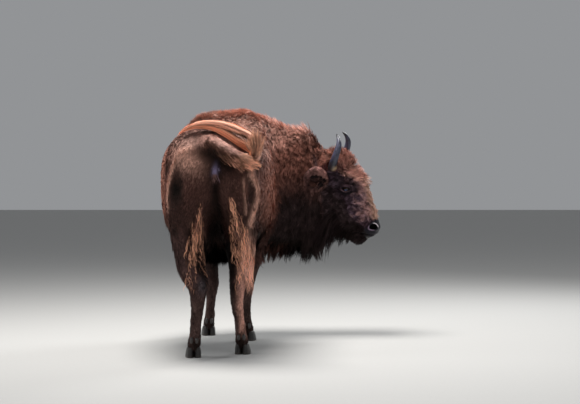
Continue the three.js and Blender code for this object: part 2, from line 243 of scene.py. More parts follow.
# ---- Skin: one mesh from the nodes of flesh ----
LEGS = ["leg_hind_left", "leg_hind_right", "leg_front_left", "leg_front_right"]
TRUNK = ["trunk", "neck", *LEGS, "tail_dock"]
EARS = ["ear_left", "ear_right"]
LABELS = TRUNK + ["head"] + EARS
NAPE = Vector((-0.63, -0.7, 0.95)) + SHIFT
NAPE_ACROSS = Vector((-1, 0, 0.17)).normalized()
BODY_VOXEL, FACE_VOXEL, EAR_VOXEL, HOOF_VOXEL = 0.0142, 0.0048, 0.0033, 0.0026
SWELL = 0.0007


def past_nape(places):
    return (places - np.array(NAPE)) @ np.array(NAPE_ACROSS)


@contextmanager
def opened(mesh):
    """A mesh to edit, which is written back afterwards."""
    bm = bmesh.new()
    bm.from_mesh(mesh)
    yield bm
    bm.to_mesh(mesh)
    bm.free()


def sliced(bm, at, across, **cleared):
    geom = bm.verts[:] + bm.edges[:] + bm.faces[:]
    bmesh.ops.bisect_plane(bm, geom=geom, dist=1e-4, plane_co=at, plane_no=across, **cleared)


def open_edges(bm):
    return [e for e in bm.edges if e.is_boundary]


def flesh(names):
    """Copies of nodes in one mesh, swollen by a hair so that neighbours overlap."""
    whole = bpy.data.meshes.new("flesh")
    with opened(whole) as bm:
        for name in names:
            copy = nodes[name].data.copy()
            with opened(copy) as part:
                bmesh.ops.remove_doubles(part, verts=part.verts, dist=1e-5)
                part.normal_update()
                for vert in part.verts:
                    vert.co += vert.normal * SWELL
            bm.from_mesh(copy)
            bpy.data.meshes.remove(copy)
    return whole


def fused(names, voxel, past=None):
    """One fine mesh of several nodes, or of what lies past a place behind the nape."""
    mesh = flesh(names)
    if past:
        with opened(mesh) as bm:
            sliced(bm, past, NAPE_ACROSS, clear_inner=True)
            bmesh.ops.holes_fill(bm, edges=open_edges(bm))
    obj = new_object("flesh", mesh)
    mod = obj.modifiers.new("voxels", "REMESH")
    mod.mode, mod.voxel_size = "VOXEL", voxel
    made = bpy.data.meshes.new_from_object(obj.evaluated_get(bpy.context.evaluated_depsgraph_get()))
    bpy.data.objects.remove(obj)
    return made


def settle(mesh, times, share_at=None):
    """Smooths a mesh, by a share of 0 to 0.5 at each place and pass."""
    places = vertex_places(mesh)
    share = share_at(places) if share_at else 0.5
    places = relax(places, edges_of(mesh), share, times)
    mesh.vertices.foreach_set("co", places.ravel())


def half_of(mesh, front):
    """Keeps the part of a mesh in front of the nape, or the part behind it."""
    with opened(mesh) as bm:
        sliced(bm, NAPE, NAPE_ACROSS, clear_outer=not front, clear_inner=front)
        bmesh.ops.delete(bm, geom=[v for v in bm.verts if not v.link_faces], context="VERTS")


def finer(mesh, chosen):
    """Divides the faces whose corners are all chosen."""
    with opened(mesh) as bm:
        bm.verts.ensure_lookup_table()
        edges = [e for e in bm.edges if chosen[e.verts[0].index] and chosen[e.verts[1].index]]
        bmesh.ops.subdivide_edges(bm, edges=edges, cuts=1, use_grid_fill=True, smooth=0.0)


def trunk_ease(p):
    """How strongly body and legs are smoothed: less on the thin legs and the dock."""
    _, y, z = in_body(p).T
    thin = step(z, 0.62, 0.45)
    dock = step(y, 0.66, 0.7) * step(z, 1.0, 1.08)
    return 0.5 * (1 - 0.6 * thin) * (1 - 0.6 * dock)


def face_ease(p):
    mouth = step(in_head(p)[:, 1], 0.46, 0.5)
    return 0.5 * (1 - 0.8 * mouth)


def under_dock(p):
    """The middle of the buttocks under the root of the tail."""
    x, y, z = in_body(p).T
    return (np.abs(x + 0.02) < 0.09) & (np.abs(z - 1.06) < 0.11) & (y > 0.45)


def whole_skin():
    """Body, face and ears as one mesh: the face is finer, and bridged to the body at the nape."""
    body = fused(TRUNK + ["head"], BODY_VOXEL)
    settle(body, 22, trunk_ease)
    half_of(body, False)
    finer(body, under_dock(vertex_places(body)))
    face = fused(["head", "neck"], FACE_VOXEL, NAPE - NAPE_ACROSS * 0.04)
    settle(face, 34, face_ease)
    half_of(face, True)
    finer(face, in_head(vertex_places(face))[:, 1] > 0.475)
    settle(face, 2, lambda p: 0.5 * step(in_head(p)[:, 1], 0.45, 0.47))
    with opened(body) as bm:
        bm.from_mesh(face)
        bmesh.ops.bridge_loops(bm, edges=open_edges(bm))
        for name in EARS:
            ear = fused([name], EAR_VOXEL)
            settle(ear, 7)
            bm.from_mesh(ear)
        bmesh.ops.recalc_face_normals(bm, faces=bm.faces)
    return body


mesh = whole_skin()
V, EDGES, TRIS = vertex_places(mesh), edges_of(mesh), triangles_of(mesh)


# ---- Skin: which part each point belongs to, and the room for the coat over it ----
def solids_tree(*names):
    """A tree of the faces of nodes, and which node each face is from."""
    corners, faces, owner = [], [], []
    for k, name in enumerate(names):
        tris = triangles_of(nodes[name].data)
        faces += (tris + len(corners)).tolist()
        corners += vertex_places(nodes[name].data).tolist()
        owner += [k] * len(tris)
    return BVHTree.FromPolygons(corners, faces), owner


def nearest_solid(places, normals):
    """For each point the share of each part, and its height over the solids."""
    tree, owner = solids_tree(*LABELS)
    weights, height = np.zeros((len(places), len(LABELS))), np.zeros(len(places))
    for i, (p, n) in enumerate(zip(places, normals)):
        at, _, face, _ = tree.find_nearest(p)
        weights[i, owner[face]] = 1
        height[i] = (p - np.array(at)) @ n
    return relax(weights, EDGES, 0.5, 9), height


def fields(places, weights, normals):
    """What the shapes and markings go by. b and x, y, z: places on the body; h, side, along, rise: on
    the head; m and out: the same on one side; n and nx, ny, nz: normals; the rest: shares of the parts."""
    b, h = in_body(places), in_head(places)
    w = dict(zip(LABELS, weights.T))
    hind_left, hind_right, fore_left, fore_right = (w[name] for name in LEGS)
    return SimpleNamespace(
        b=b, x=b[:, 0], y=b[:, 1], z=b[:, 2], h=h, side=h[:, 0], along=h[:, 1], rise=h[:, 2],
        m=np.c_[np.abs(h[:, 0]), h[:, 1:]], out=np.abs(h[:, 0]),
        n=normals, nx=normals[:, 0], ny=normals[:, 1], nz=normals[:, 2],
        trunk=w["trunk"], neck=w["neck"], head=w["head"], dock=w["tail_dock"],
        hind=hind_left + hind_right, fore=fore_left + fore_right, left=hind_left + fore_left,
        leg=hind_left + hind_right + (fore_left + fore_right), ear=w["ear_left"] + w["ear_right"],
    )


def woolly(f):
    """1 where the long wool of shoulders, hump and neck grows, 0 on the short coat."""
    front = step(f.y + 0.16 * (f.z - 1.0), -0.1, -0.44)
    return np.clip(f.trunk * front + f.neck + 0.6 * f.fore * step(f.z, 0.5, 0.7), 0, 1)


def forehead(f):
    """1 on the woolly cap round the horns."""
    cap = step(f.rise, -0.02, 0.05) * step(f.along, 0.27, 0.15) + step(f.along, 0.1, 0.02)
    return np.clip(cap, 0, 1)


def muzzle(f):
    """1 on the bare skin of the nose and lips."""
    edge = 0.5 + 0.35 * np.clip(-0.055 - f.rise, -0.2, 0) - 0.1 * np.clip(f.out - 0.02, 0, 1)
    ragged = 0.005 * waves(f.h, 0.03, 5)
    lips = step(f.rise, -0.112, -0.098) + bump(mouth_gap(f), 0.003, 0.006)
    return f.head * step(f.along + ragged, edge, edge + 0.012) * np.clip(lips, 0, 1)


def coat_depth(f):
    """How far the skin lies inside the tips of the coat."""
    high = step(f.z, 0.85, 1.3)
    body = 0.011 + woolly(f) * (0.016 + 0.016 * high)
    leg = 0.0025 + 0.0075 * step(f.z, 0.25, 0.6)
    face = 0.007 + 0.028 * forehead(f)
    face += 0.012 * step(f.rise, -0.1, -0.18) * step(f.along, 0.46, 0.36)
    face += 0.012 * step(f.rise, 0.02, 0.06) * step(f.along, 0.45, 0.35)
    face *= 1 - step(f.along, 0.45, 0.5)
    depth = f.trunk * body + f.neck * (0.034 + 0.004 * high) + f.head * face
    return depth + f.leg * leg + f.ear * 0.002 + f.dock * 0.012


def oval(f, x, z, wide, tall, tilt=0.0):
    """1 at a place on the animal's hind face, fading outward over an oval. In mm."""
    x, z, wide, tall = np.array([x, z, wide, tall]) / 1000
    dx, dz = f.x - x, f.z - z
    u = dx * math.cos(tilt) + dz * math.sin(tilt)
    v = dz * math.cos(tilt) - dx * math.sin(tilt)
    return np.exp(-((u / wide) ** 2) - ((v / tall) ** 2)) * step(f.y, 0.18, 0.34)


def drawn(f, points, width):
    """1 on a line over the animal's hind face, through points (x, z) in mm, fading outward."""
    p, nearest = np.stack([f.x, f.z], 1), np.full(len(f.x), 9.0)
    points = np.array(points) / 1000
    for a, b in zip(points[:-1], points[1:]):
        t = np.clip((p - a) @ (b - a) / ((b - a) @ (b - a)), 0, 1)
        nearest = np.minimum(nearest, np.linalg.norm(p - a - t[:, None] * (b - a), axis=1))
    return bump(nearest, 0, width) * step(f.y, 0.18, 0.34)


HAUNCH_LEFT = [(120, 1220), (190, 1185), (232, 1110), (260, 1020), (268, 935), (254, 850), (220, 760)]
HAUNCH_RIGHT = [(-226, 1085), (-256, 1030), (-270, 990), (-269, 935), (-238, 850), (-222, 780)]
BUTTOCK_RIGHT = [(-186, 1045), (-186, 990), (-193, 850)]
DOCK_SHADOW_LINE = [(50, 1205), (-20, 1163), (-100, 1122)]
CLEFT = [(-20, 1050), (-18, 900), (-14, 700)]
VULVA_X, VULVA_Z, VULVA_TILT = -22, 1080, 0.1


def vulva(f, wide, tall, dx=0, dz=0):
    return oval(f, VULVA_X + dx, VULVA_Z + dz, wide, tall, VULVA_TILT)


def haunch_folds(f):
    """Hollows and ridges of the hindquarters, in metres outward."""
    d = 0.013 * drawn(f, HAUNCH_LEFT, 0.02) + 0.015 * drawn(f, HAUNCH_RIGHT, 0.018)
    d += 0.01 * drawn(f, BUTTOCK_RIGHT, 0.022) + 0.01 * oval(f, 120, 1080, 60, 70)
    d -= 0.024 * oval(f, 204, 985, 36, 85, 0.05) + 0.014 * oval(f, -230, 960, 22, 80)
    d -= 0.024 * drawn(f, CLEFT, 0.02) + 0.018 * oval(f, 40, 1170, 45, 30, 0.5)
    d += 0.012 * oval(f, 50, 430, 34, 50)
    d += 0.02 * vulva(f, 20, 48) - 0.009 * vulva(f, 4.5, 36, dz=-4)
    return d * (f.trunk + f.hind)


NORMALS = normals_of(V, TRIS)
WEIGHTS, HEIGHT = nearest_solid(V, NORMALS)
F = fields(V, WEIGHTS, NORMALS)
behind_mouth = 1 - step(F.along, 0.4, 0.48) * F.head
solid_again = np.clip(-HEIGHT, -0.02, 0.02) * (1 - F.ear) * behind_mouth
solid_again = relax(solid_again[:, None], EDGES, 0.5, 45)[:, 0]
V = relax(V, EDGES, 0.5 * bump(past_nape(V), 0, 0.03), 16)
NORMALS = normals_of(V, TRIS)
up = NORMALS[:, 2]
outward = np.clip(NORMALS[:, 0] * np.where(F.left > 0.5, 1, -1), 0, 1)
leg_forms = 0.016 * F.hind * bump(F.z, 0.5, 0.08) * outward + 0.006 * F.leg * bump(F.z, 0.07, 0.025)
crest = 0.046 * bump(past_nape(V), 0.01, 0.075) * step(up, 0.3, 0.8)
shoulder = bump(np.abs(F.x + 0.04), 0.165, 0.09) * bump(F.y, -0.42, 0.2) * step(up, 0.2, 0.6)
crest += 0.03 * shoulder * F.trunk
V = V + NORMALS * (solid_again - coat_depth(F) + haunch_folds(F) + leg_forms + crest)[:, None]
V = relax(V, EDGES, 0.5 * (1 - F.ear) * (1 - step(F.along, 0.4, 0.46) * F.head), 2)


# ---- Skin: the face ----
NOSTRIL = np.array([0.05, 0.513, -0.015])
NOSTRIL_LONG = unit(np.array([-0.53, 0.5, 0.69]))
NOSTRIL_TALL = unit(np.cross(NOSTRIL_LONG, [1.0, -0.15, 0.35]))
NOSTRIL_DEEP = np.cross(NOSTRIL_TALL, NOSTRIL_LONG)


def nostril_reach(f):
    """Distance from the middle of the nostril, 1 at its rim."""
    away = f.m - NOSTRIL
    curl = away @ NOSTRIL_TALL - 5.0 * (away @ NOSTRIL_LONG) ** 2
    long, deep = away @ NOSTRIL_LONG / 0.029, away @ NOSTRIL_DEEP / 0.034
    return np.sqrt(long ** 2 + (curl / 0.019) ** 2 + deep ** 2)


def mouth_gap(f):
    """Height over the line between the lips."""
    return (f.rise + 0.142 - (f.along - 0.48) * (0.067 / 0.055)) * 0.634


def face_folds(f):
    """Nostril rims, lips, chin, cheek and brow, in metres outward."""
    a, r, o = f.along, f.rise, f.out
    front, gap = step(a, 0.455, 0.475), mouth_gap(f)
    d = 0.0045 * bump(nostril_reach(f), 1.2, 0.2) * front
    d += front * (0.0025 * bump(gap, 0.01, 0.006) + 0.003 * bump(gap, -0.011, 0.007))
    d -= front * 0.006 * bump(gap, 0, 0.0035)
    d += 0.004 * bump(a, 0.33, 0.05) * bump(r, -0.03, 0.022)
    d -= 0.004 * bump(a, 0.3, 0.05) * bump(r, -0.075, 0.02)
    d -= 0.003 * bump(o, 0, 0.004) * step(a, 0.535, 0.55) * step(r, -0.02, -0.05)
    d += 0.006 * bump(a, 0.205, 0.05) * bump(r, 0.02, 0.014) * step(o, 0.07, 0.09)
    return d * f.head


NORMALS = normals_of(V, TRIS)
F = fields(V, WEIGHTS, NORMALS)
V = V + NORMALS * face_folds(F)[:, None]


def round_eye(f):
    """Distances from the middle of the eye, towards its front corner and towards the brow."""
    a, r = f.along - EYE[1], f.rise - EYE[2]
    return a * EYE_COS + r * EYE_SIN, r * EYE_COS - a * EYE_SIN


def lid(s, rows=16, spokes=56):
    """The lids of one eye: a ring of skin from the margin of the opening out under cheek and brow."""
    t = np.linspace(0, 1, rows)[:, None]
    a = turns_of(spokes)[None]
    c, n = np.cos(a), np.sin(a)
    upper = (n > 0) * 1.0
    inner_u = 0.025 * c + 0.001
    inner_v = (0.0068 * upper + 0.0088 * (1 - upper)) * n * (1 - 0.45 * c * c) + 0.001
    u = inner_u + (0.048 * c - inner_u) * t
    v = inner_v + (0.044 * n - inner_v) * t
    reach = np.hypot(u, v)
    ball = np.sqrt(np.maximum((EYE_RADIUS + 0.003) ** 2 - reach ** 2, 1e-6))
    flat = 0.0175 - 0.1 * np.maximum(reach - 0.024, 0)
    blend = step(reach, 0.014, 0.03)
    high = ball * (1 - blend) + flat * blend - 0.0026 * (1 - t) ** 8
    high = high + (0.0014 + 0.0022 * upper) * bump(t, 0.2, 0.11)
    high = high - (0.0016 + 0.0018 * upper) * bump(t, 0.44, 0.07) * np.abs(n)
    high = high + 0.0022 * bump(t, 0.6, 0.1) * np.abs(n) - 0.012 * step(t, 0.8, 1.0)
    along, rise = EYE[1] + u * EYE_COS - v * EYE_SIN, EYE[2] + u * EYE_SIN + v * EYE_COS
    ring = zip((EYE[0] + high).ravel(), along.ravel(), rise.ravel())
    quads = grid_quads(rows, spokes)
    return np.array([on_head(s * o, a, r) for o, a, r in ring]), quads if s > 0 else quads[:, ::-1]


for s in (1, -1):
    more, quads = lid(s)
    share = np.zeros((len(more), len(LABELS)))
    share[:, LABELS.index("head")] = 1
    TRIS = np.r_[TRIS, halved(quads) + len(V)]
    V, WEIGHTS = np.r_[V, more], np.r_[WEIGHTS, share]
NORMALS = normals_of(V, TRIS)
F = fields(V, WEIGHTS, NORMALS)
TO_FRONT, TO_BROW = round_eye(F)
EYE_GAP = np.hypot(TO_FRONT / 0.0285, (TO_BROW - 0.001) / 0.0125)


# ---- Markings, with painted shade and highlights, shared by skin and coat ----
RUMP, FLANK, HUMP = colour(106, 71, 62), colour(136, 92, 78), colour(168, 124, 110)
DUSTY, NECK, THROAT = colour(128, 103, 94), colour(86, 53, 44), colour(28, 20, 20)
BLACK, UMBER, HAUNCH_SHADE = colour(8, 6, 6), colour(40, 27, 25), colour(62, 41, 37)
LEG, SHIN, LIT_SHIN = colour(60, 43, 41), colour(66, 50, 47), colour(170, 126, 112)
WORN, RIM_HIGHLIGHT, GINGER = colour(78, 72, 76), colour(190, 144, 126), colour(232, 168, 136)
BROW, BRIDGE, PROFILE_HIGHLIGHT = colour(116, 78, 68), colour(132, 96, 92), colour(204, 158, 134)
CHEEK, LASHES, LID_HIGHLIGHT = colour(48, 35, 43), colour(18, 15, 19), colour(112, 88, 96)
NOSE, NOSE_EDGE = colour(14, 12, 20), colour(40, 31, 39)
NOSTRIL_RIM, NOSTRIL_HIGHLIGHT = colour(128, 108, 128), colour(226, 214, 220)
EAR, EAR_CUP_SHADE, EAR_PALE_HAIR_AND_HIGHLIGHT = colour(64, 43, 41), colour(22, 16, 18), colour(160, 116, 108)
DOCK, DOCK_TOP_HIGHLIGHT, DOCK_END = colour(86, 57, 47), colour(172, 132, 120), colour(200, 148, 120)
FLESH, FLESH_PINK = colour(136, 124, 156), colour(150, 112, 108)
EAR_ROOT = np.array([0.108, 0.098, -0.118])
EAR_AXES = np.array([[0.66, -0.5, -0.56], [0, -0.73, 0.67], [0.75, 0.44, 0.49]])
EAR_STATIONS = [-0.03, 0.007, 0.046, 0.085, 0.117, 0.135]
EAR_HALF_WIDTHS = [0.024, 0.032, 0.051, 0.056, 0.038, 0.013]


def ear_places(f):
    """Distance along the ear, across it towards its upper edge, and out of its mouth."""
    return [(f.m - EAR_ROOT) @ axis for axis in EAR_AXES]


def ear_rim(f):
    """1 on the edge of the ear, 0 in its cup and on its back."""
    length, side, _ = ear_places(f)
    half = np.interp(length, EAR_STATIONS, EAR_HALF_WIDTHS)
    return f.ear * np.maximum(step(np.abs(side) / half, 0.72, 0.92), step(length, 0.1, 0.125))


def ear_cup(f):
    return f.ear * step(ear_places(f)[2], -0.008, 0.004) * (1 - ear_rim(f))


def ear_near(f):
    """Distance from the middle line of the ear."""
    length, side, opening = ear_places(f)
    return np.sqrt((length - np.clip(length, 0, 0.12)) ** 2 + side ** 2 + opening ** 2)


def eye_near(f):
    front, brow = round_eye(f)
    return np.hypot((front - 0.006) * 0.9, (brow + 0.002) * 1.15)


def body_colour(f, patch):
    wool = woolly(f)
    chest = np.clip(f.neck + wool * step(f.y, -0.45, -0.62), 0, 1)
    left_edge = wool * step(f.x, -0.1, 0.05)
    dust = step(f.nz, 0.1, 0.7) * f.trunk * (0.5 + 0.4 * left_edge)
    return painted(
        FLANK,
        (RUMP, step(f.y, 0.0, 0.4)),
        (NECK, wool),
        (HUMP, wool * step(f.z + 0.05 * patch, 1.2, 1.46)),
        (THROAT, chest * step(f.z + 0.06 * patch, 1.2, 0.9)),
        (UMBER, step(f.z + 0.05 * patch, 1.0, 0.66) * (1 - f.neck) * 0.85),
        (DUSTY * (1 - 0.15 * left_edge)[:, None], dust),
        # painted shade: the faces turned down are darkened almost to black
        (BLACK * 0.6, step(f.nz, -0.2, -0.7) * (f.trunk + f.neck) * 0.95),
    )


def haunch_colour(c, f, patch):
    rear = step(f.ny, 0.0, 0.6) * step(f.y, 0.1, 0.35)
    cleft = drawn(f, CLEFT, 0.024 + 0.05 * step(f.z, 0.85, 0.65))
    hollow = oval(f, 206, 985, 54, 104, 0.05) * step(f.x - 0.152 - 0.12 * (f.z - 0.985), -0.006, 0.014)
    edges = drawn(f, HAUNCH_LEFT, 0.011) * step(f.z, 0.84, 0.95) + drawn(f, HAUNCH_RIGHT, 0.015)
    edges = np.clip(edges + 0.5 * drawn(f, BUTTOCK_RIGHT, 0.008), 0, 0.9)
    pink = step(f.z, (VULVA_Z - 22) / 1000, (VULVA_Z - 6) / 1000)
    return painted(
        c,
        # painted shade: the rear faces darker than the haunch's own brown, most of all low down
        (HAUNCH_SHADE, rear * 0.85 * step(f.z + 0.03 * patch, 1.25, 1.1)),
        (UMBER, rear * 0.6 * step(f.z, 1.0, 0.8)),
        # painted shade in the cleft between the thighs and in the hollow of the left haunch
        (BLACK, rear * cleft * 0.95),
        (BLACK * 0.2, rear * hollow),
        # painted shade on the flank beyond the left hip and in the hollow of the right haunch
        (UMBER * 0.7, step(f.y, 0.25, 0.4) * oval(f, 278, 1110, 24, 70, 0.25) * 0.8),
        (UMBER, rear * oval(f, -228, 970, 22, 90) * 0.7),
        # painted shadow cast by the dock on the buttocks
        (BLACK * 0.4, rear * drawn(f, DOCK_SHADOW_LINE, 0.042)),
        (UMBER, rear * oval(f, -50, 1090, 100, 70) * 0.7),
        # painted highlights along the edges of the haunches and right buttock, and on the upper left rump
        (RIM_HIGHLIGHT, step(f.ny, 0.0, 0.3) * edges),
        (RIM_HIGHLIGHT, rear * oval(f, 140, 1160, 95, 60, 0.6) * 0.7),
        (BLACK, rear * vulva(f, 30, 64) * 0.95),
        (mix(FLESH_PINK, FLESH, pink), rear * vulva(f, 14, 38, 1, 2)),
    )


def leg_colour(c, f):
    right_hind = f.hind * (1 - f.left)
    pale = step(f.nx, 0.5, -0.4) * step(f.z, 0.08, 0.2) * step(f.z, 0.66, 0.5)
    outer = step(f.nx, 0.0, -0.6) * step(f.z, 0.5, 0.6) * step(f.z, 0.98, 0.85)
    behind = f.leg * step(f.ny, 0.0, 0.5)
    inward = np.where(f.left > 0.5, -1, 1) * f.nx
    c = painted(
        c,
        (LEG, f.leg * step(f.z, 0.8, 0.6)),
        (SHIN, f.leg * step(f.z, 0.42, 0.3)),
        # painted highlights down the right side of the right hind leg
        (LIT_SHIN, right_hind * pale),
        (RIM_HIGHLIGHT, right_hind * outer * 0.5),
        (WORN, behind * oval(f, 52, 436, 24, 45) * 0.8),
        (BLACK, behind * oval(f, -122, 413, 24, 34) * 0.95),
        # painted shade on the inner faces of the legs and on faces turned down
        (BLACK, f.leg * step(inward, 0.0, 0.6) * step(f.z, 0.3, 0.55) * 0.92),
        (BLACK, step(f.nz, -0.2, -0.8) * f.leg * 0.9),
        (BLACK, f.leg * bump(f.z, 0.085, 0.03) * 0.6),
    )
    return c * (1 + 0.3 * f.leg * waves(f.b * [1, 1, 0.4], 0.045, 8))[:, None]


def head_colour(f, patch):
    a, r = f.along, f.rise
    low = 0.03 * step(a, 0.28, 0.4)
    rough = 0.02 * patch + 0.04 * waves(f.b, 0.045, 9)
    top = step(r + rough + low, -0.02, 0.1) * step(a, 0.1, 0.2) * step(a, 0.5, 0.44)
    profile_light = step(f.out, 0.05, 0.016) * step(r + low, 0.0, 0.04)
    hairline = r + 0.003 - 0.478 * (a - 0.093) + 0.006 * patch  # between ear, horn and eye
    front, brow = round_eye(f)
    lower = step(brow, 0.0, -0.01) * step(front, 0.02, -0.01)
    bare, reach = muzzle(f), nostril_reach(f)
    rim = bump(reach, 1.18, 0.12) * step(a, 0.47, 0.48)
    above = 0.98 * (r + 0.015) - 0.21 * (a - 0.513)
    return painted(
        mix(CHEEK, BRIDGE, top) * (1 + 0.3 * waves(f.b, 0.022, 10))[:, None],
        # painted highlight along the profile of the face
        (PROFILE_HIGHLIGHT, profile_light * step(a, 0.12, 0.22) * step(a, 0.5, 0.46) * 0.85),
        (BROW, forehead(f) * step(hairline, -0.01, 0.012)),
        (LASHES, step(hairline, 0.004, -0.012) * step(a, 0.26, 0.2) * step(r, -0.09, -0.05) * 0.55),
        # painted highlight along the brow ridge
        (RIM_HIGHLIGHT, bump(hairline, 0.01, 0.007) * step(a, 0.08, 0.12) * step(a, 0.26, 0.22) * 0.5),
        (NECK, step(a, 0.09, -0.02) * step(r, -0.14, -0.05)),
        (THROAT, step(r + 0.02 * patch, -0.05, -0.12) * step(a, 0.52, 0.44) * 0.9),
        (LASHES, step(eye_near(f), 0.062, 0.03) * 0.95),
        # the lid skin's colour lightened as painted highlights on the lower lid's edge and on the upper
        # lid's bulge
        (LID_HIGHLIGHT, bump(np.hypot(front / 0.032, brow / 0.0185), 1.0, 0.16) * (0.25 + 0.65 * lower)),
        (LID_HIGHLIGHT, bump(np.hypot(front / 0.023, (brow - 0.021) / 0.0085), 0, 0.9) * 0.8),
        (BLACK, bump(np.hypot(front / 0.0245, brow / 0.0115), 1.0, 0.22) * 0.8),
        (NOSE_EDGE, step(a, 0.475, 0.505) * (1 - bare) * 0.6),
        (NOSE, bare),
        (THROAT * 0.5, step(r, -0.065, -0.085) * step(a, 0.4, 0.44) * 0.95),
        # painted highlight on the upper rim of the nostril
        (NOSTRIL_HIGHLIGHT, rim * step(above, 0.01, 0.022) * 0.9),
        (NOSTRIL_RIM, rim * step(above, -0.006, -0.02) * 0.8),
        # painted shade inside the nostril
        (BLACK * 0.3, step(reach, 1.06, 0.92)),
        # painted shade in the groove between the lips
        (BLACK, bump(mouth_gap(f), 0, 0.003) * step(a, 0.455, 0.475) * 0.9),
    )


def markings_and_painted_light(f):
    """The coat's colour at each place: its markings, with painted shade and highlights."""
    patch = waves(f.b, 0.3, 3) * 0.5 + waves(f.b, 0.11, 4) * 0.3
    length, side, _ = ear_places(f)
    # painted highlight along the upper edge of the ear, and painted shade in its cup
    edge = ear_rim(f) * (0.1 + 0.6 * step(length, 0.1, 0.05)) * (0.35 + 0.65 * step(side, -0.03, 0.02))
    ear = painted(EAR, (EAR_CUP_SHADE, ear_cup(f)), (EAR_PALE_HAIR_AND_HIGHLIGHT, edge))
    dock = painted(
        DOCK,
        # painted highlight on the top of the dock, and painted shade under it
        (DOCK_TOP_HIGHLIGHT, step(f.nz, 0.0, 0.7)),
        (BLACK, step(f.nz, 0.1, -0.5) * 0.9),
        (DOCK_END, step(f.x, -0.13, -0.21) * 0.8),
    )
    c = leg_colour(haunch_colour(body_colour(f, patch), f, patch), f)
    c = painted(c, (head_colour(f, patch), f.head), (ear, f.ear), (dock, f.dock))
    return c * (1.62 + 0.2 * patch)[:, None]


TINT = markings_and_painted_light(F)


# ---- Skin: its mesh and its unwrap ----
def unwrapped(mesh):
    """Unwraps a mesh from its own shape and returns the map, three corners to a face."""
    obj = new_object("skin", mesh)
    bpy.context.view_layer.objects.active = obj
    obj.select_set(True)
    mesh.uv_layers.new(name="OFBake")
    bpy.ops.object.mode_set(mode="EDIT")
    bpy.ops.mesh.select_all(action="SELECT")
    bpy.ops.uv.smart_project(angle_limit=math.radians(72), island_margin=0.002)
    bpy.ops.object.mode_set(mode="OBJECT")
    return obj, read(mesh.uv_layers["OFBake"].data, "uv", 2).reshape(-1, 3, 2)


for mesh in [m for m in bpy.data.meshes if m.users == 0]:
    bpy.data.meshes.remove(mesh)
skin, UV = unwrapped(mesh_from("skin", V, TRIS))
VERTEX_UV = np.zeros((len(V), 2))
VERTEX_UV[TRIS.ravel()] = UV.reshape(-1, 2)
BARE = muzzle(F)
LID_SKIN = bump(EYE_GAP, 1.5, 0.9) * F.head
UNDER_HAIR = 0.55  # brightness of the skin where hair covers it
write(skin.data, "tint", TINT * (UNDER_HAIR + (1 - UNDER_HAIR) * np.maximum(BARE, LID_SKIN))[:, None])


# ---- Coat: how the hair lies ----
DOCK_LINE = np.array([
    [26, 550, 1262], [14, 636, 1266], [-48, 698, 1224], [-124, 722, 1174], [-196, 716, 1146],
    [-246, 696, 1152],
]) / 1000
DOWN = np.array([0.0, 0.0, -1.0])


def head_direction(f, out, along, rise):
    """Head directions per point, `out` away from the middle on either side, as world ones."""
    local = np.broadcast_arrays(out * np.sign(f.side), -np.asarray(along), rise)
    return np.stack(local, 1) @ np.array(TURN).T


def lie_of_body(f):
    up, rear = np.clip(f.nz, 0, 1)[:, None], np.clip(f.ny, 0, 1)[:, None]
    level = np.abs(f.nz)[:, None]
    wool = woolly(f)[:, None]
    sides = unit(np.array([0, 0.75, -0.75]) * (1 - wool) + np.array([0.05, 0.35, -1.0]) * wool)
    trunk = np.array([0.06, 1.0, -0.05]) * level + sides * (1 - level)
    outward = np.sign(f.x)[:, None] * [0.35, 0, 0] + DOWN
    trunk = trunk * (1 - rear) + outward * rear * 1.4
    neck = np.array([0.9, 0.22, 0.12]) * (0.35 + 0.8 * up) + DOWN * (0.9 - 0.7 * up)
    leg = DOWN + np.array([0, 0.25, 0]) * step(f.z, 0.5, 0.8)[:, None]
    return trunk, neck, leg


def lie_of_head(f, neck):
    a, r = f.along, f.rise
    cheek = head_direction(f, 0.15, -0.55, -0.75)
    bridge = head_direction(f, 0.35 * step(f.out, 0.0, 0.05), 0.9, 0.1)
    crown = head_direction(f, 0.5 * step(f.out, 0, 0.08), np.where(a > 0.1, 0.8, -0.7), 0.35)
    away = unit(head_direction(f, 0, a - EYE[1] + 0.012, r - EYE[2]))
    return painted(
        cheek,
        (bridge, step(r, -0.01, 0.05)),
        (crown, forehead(f)),
        (away, step(eye_near(f), 0.06, 0.035)),
        (neck, step(a, 0.06, -0.03)),
    )


def lie(f):
    """The way the hair points at each place, along the skin."""
    trunk, neck, leg = lie_of_body(f)
    nearest = np.argmin(((f.b[:, None] - DOCK_LINE[None]) ** 2).sum(2), 1).clip(0, len(DOCK_LINE) - 2)
    dock = unit(DOCK_LINE[nearest + 1] - DOCK_LINE[nearest]) + 0.25 * DOWN
    ways = (trunk, neck, leg, lie_of_head(f, neck), head_direction(f, 0.66, -0.5, -0.56), dock)
    shares = (f.trunk, f.neck, f.leg, f.head, f.ear, f.dock)
    d = unit(sum(way * share[:, None] for way, share in zip(ways, shares)))
    d = d + 0.22 * swirl(f.b, 0.16, 21) + 0.12 * swirl(f.b, 0.05, 31)
    return unit(d - f.n * (d * f.n).sum(1, keepdims=True))


LIE = lie(F)
write(skin.data, "lie", LIE)
A, B, C = (V[TRIS[:, i]] for i in range(3))
AREAS = np.linalg.norm(np.cross(B - A, C - A), axis=1) / 2


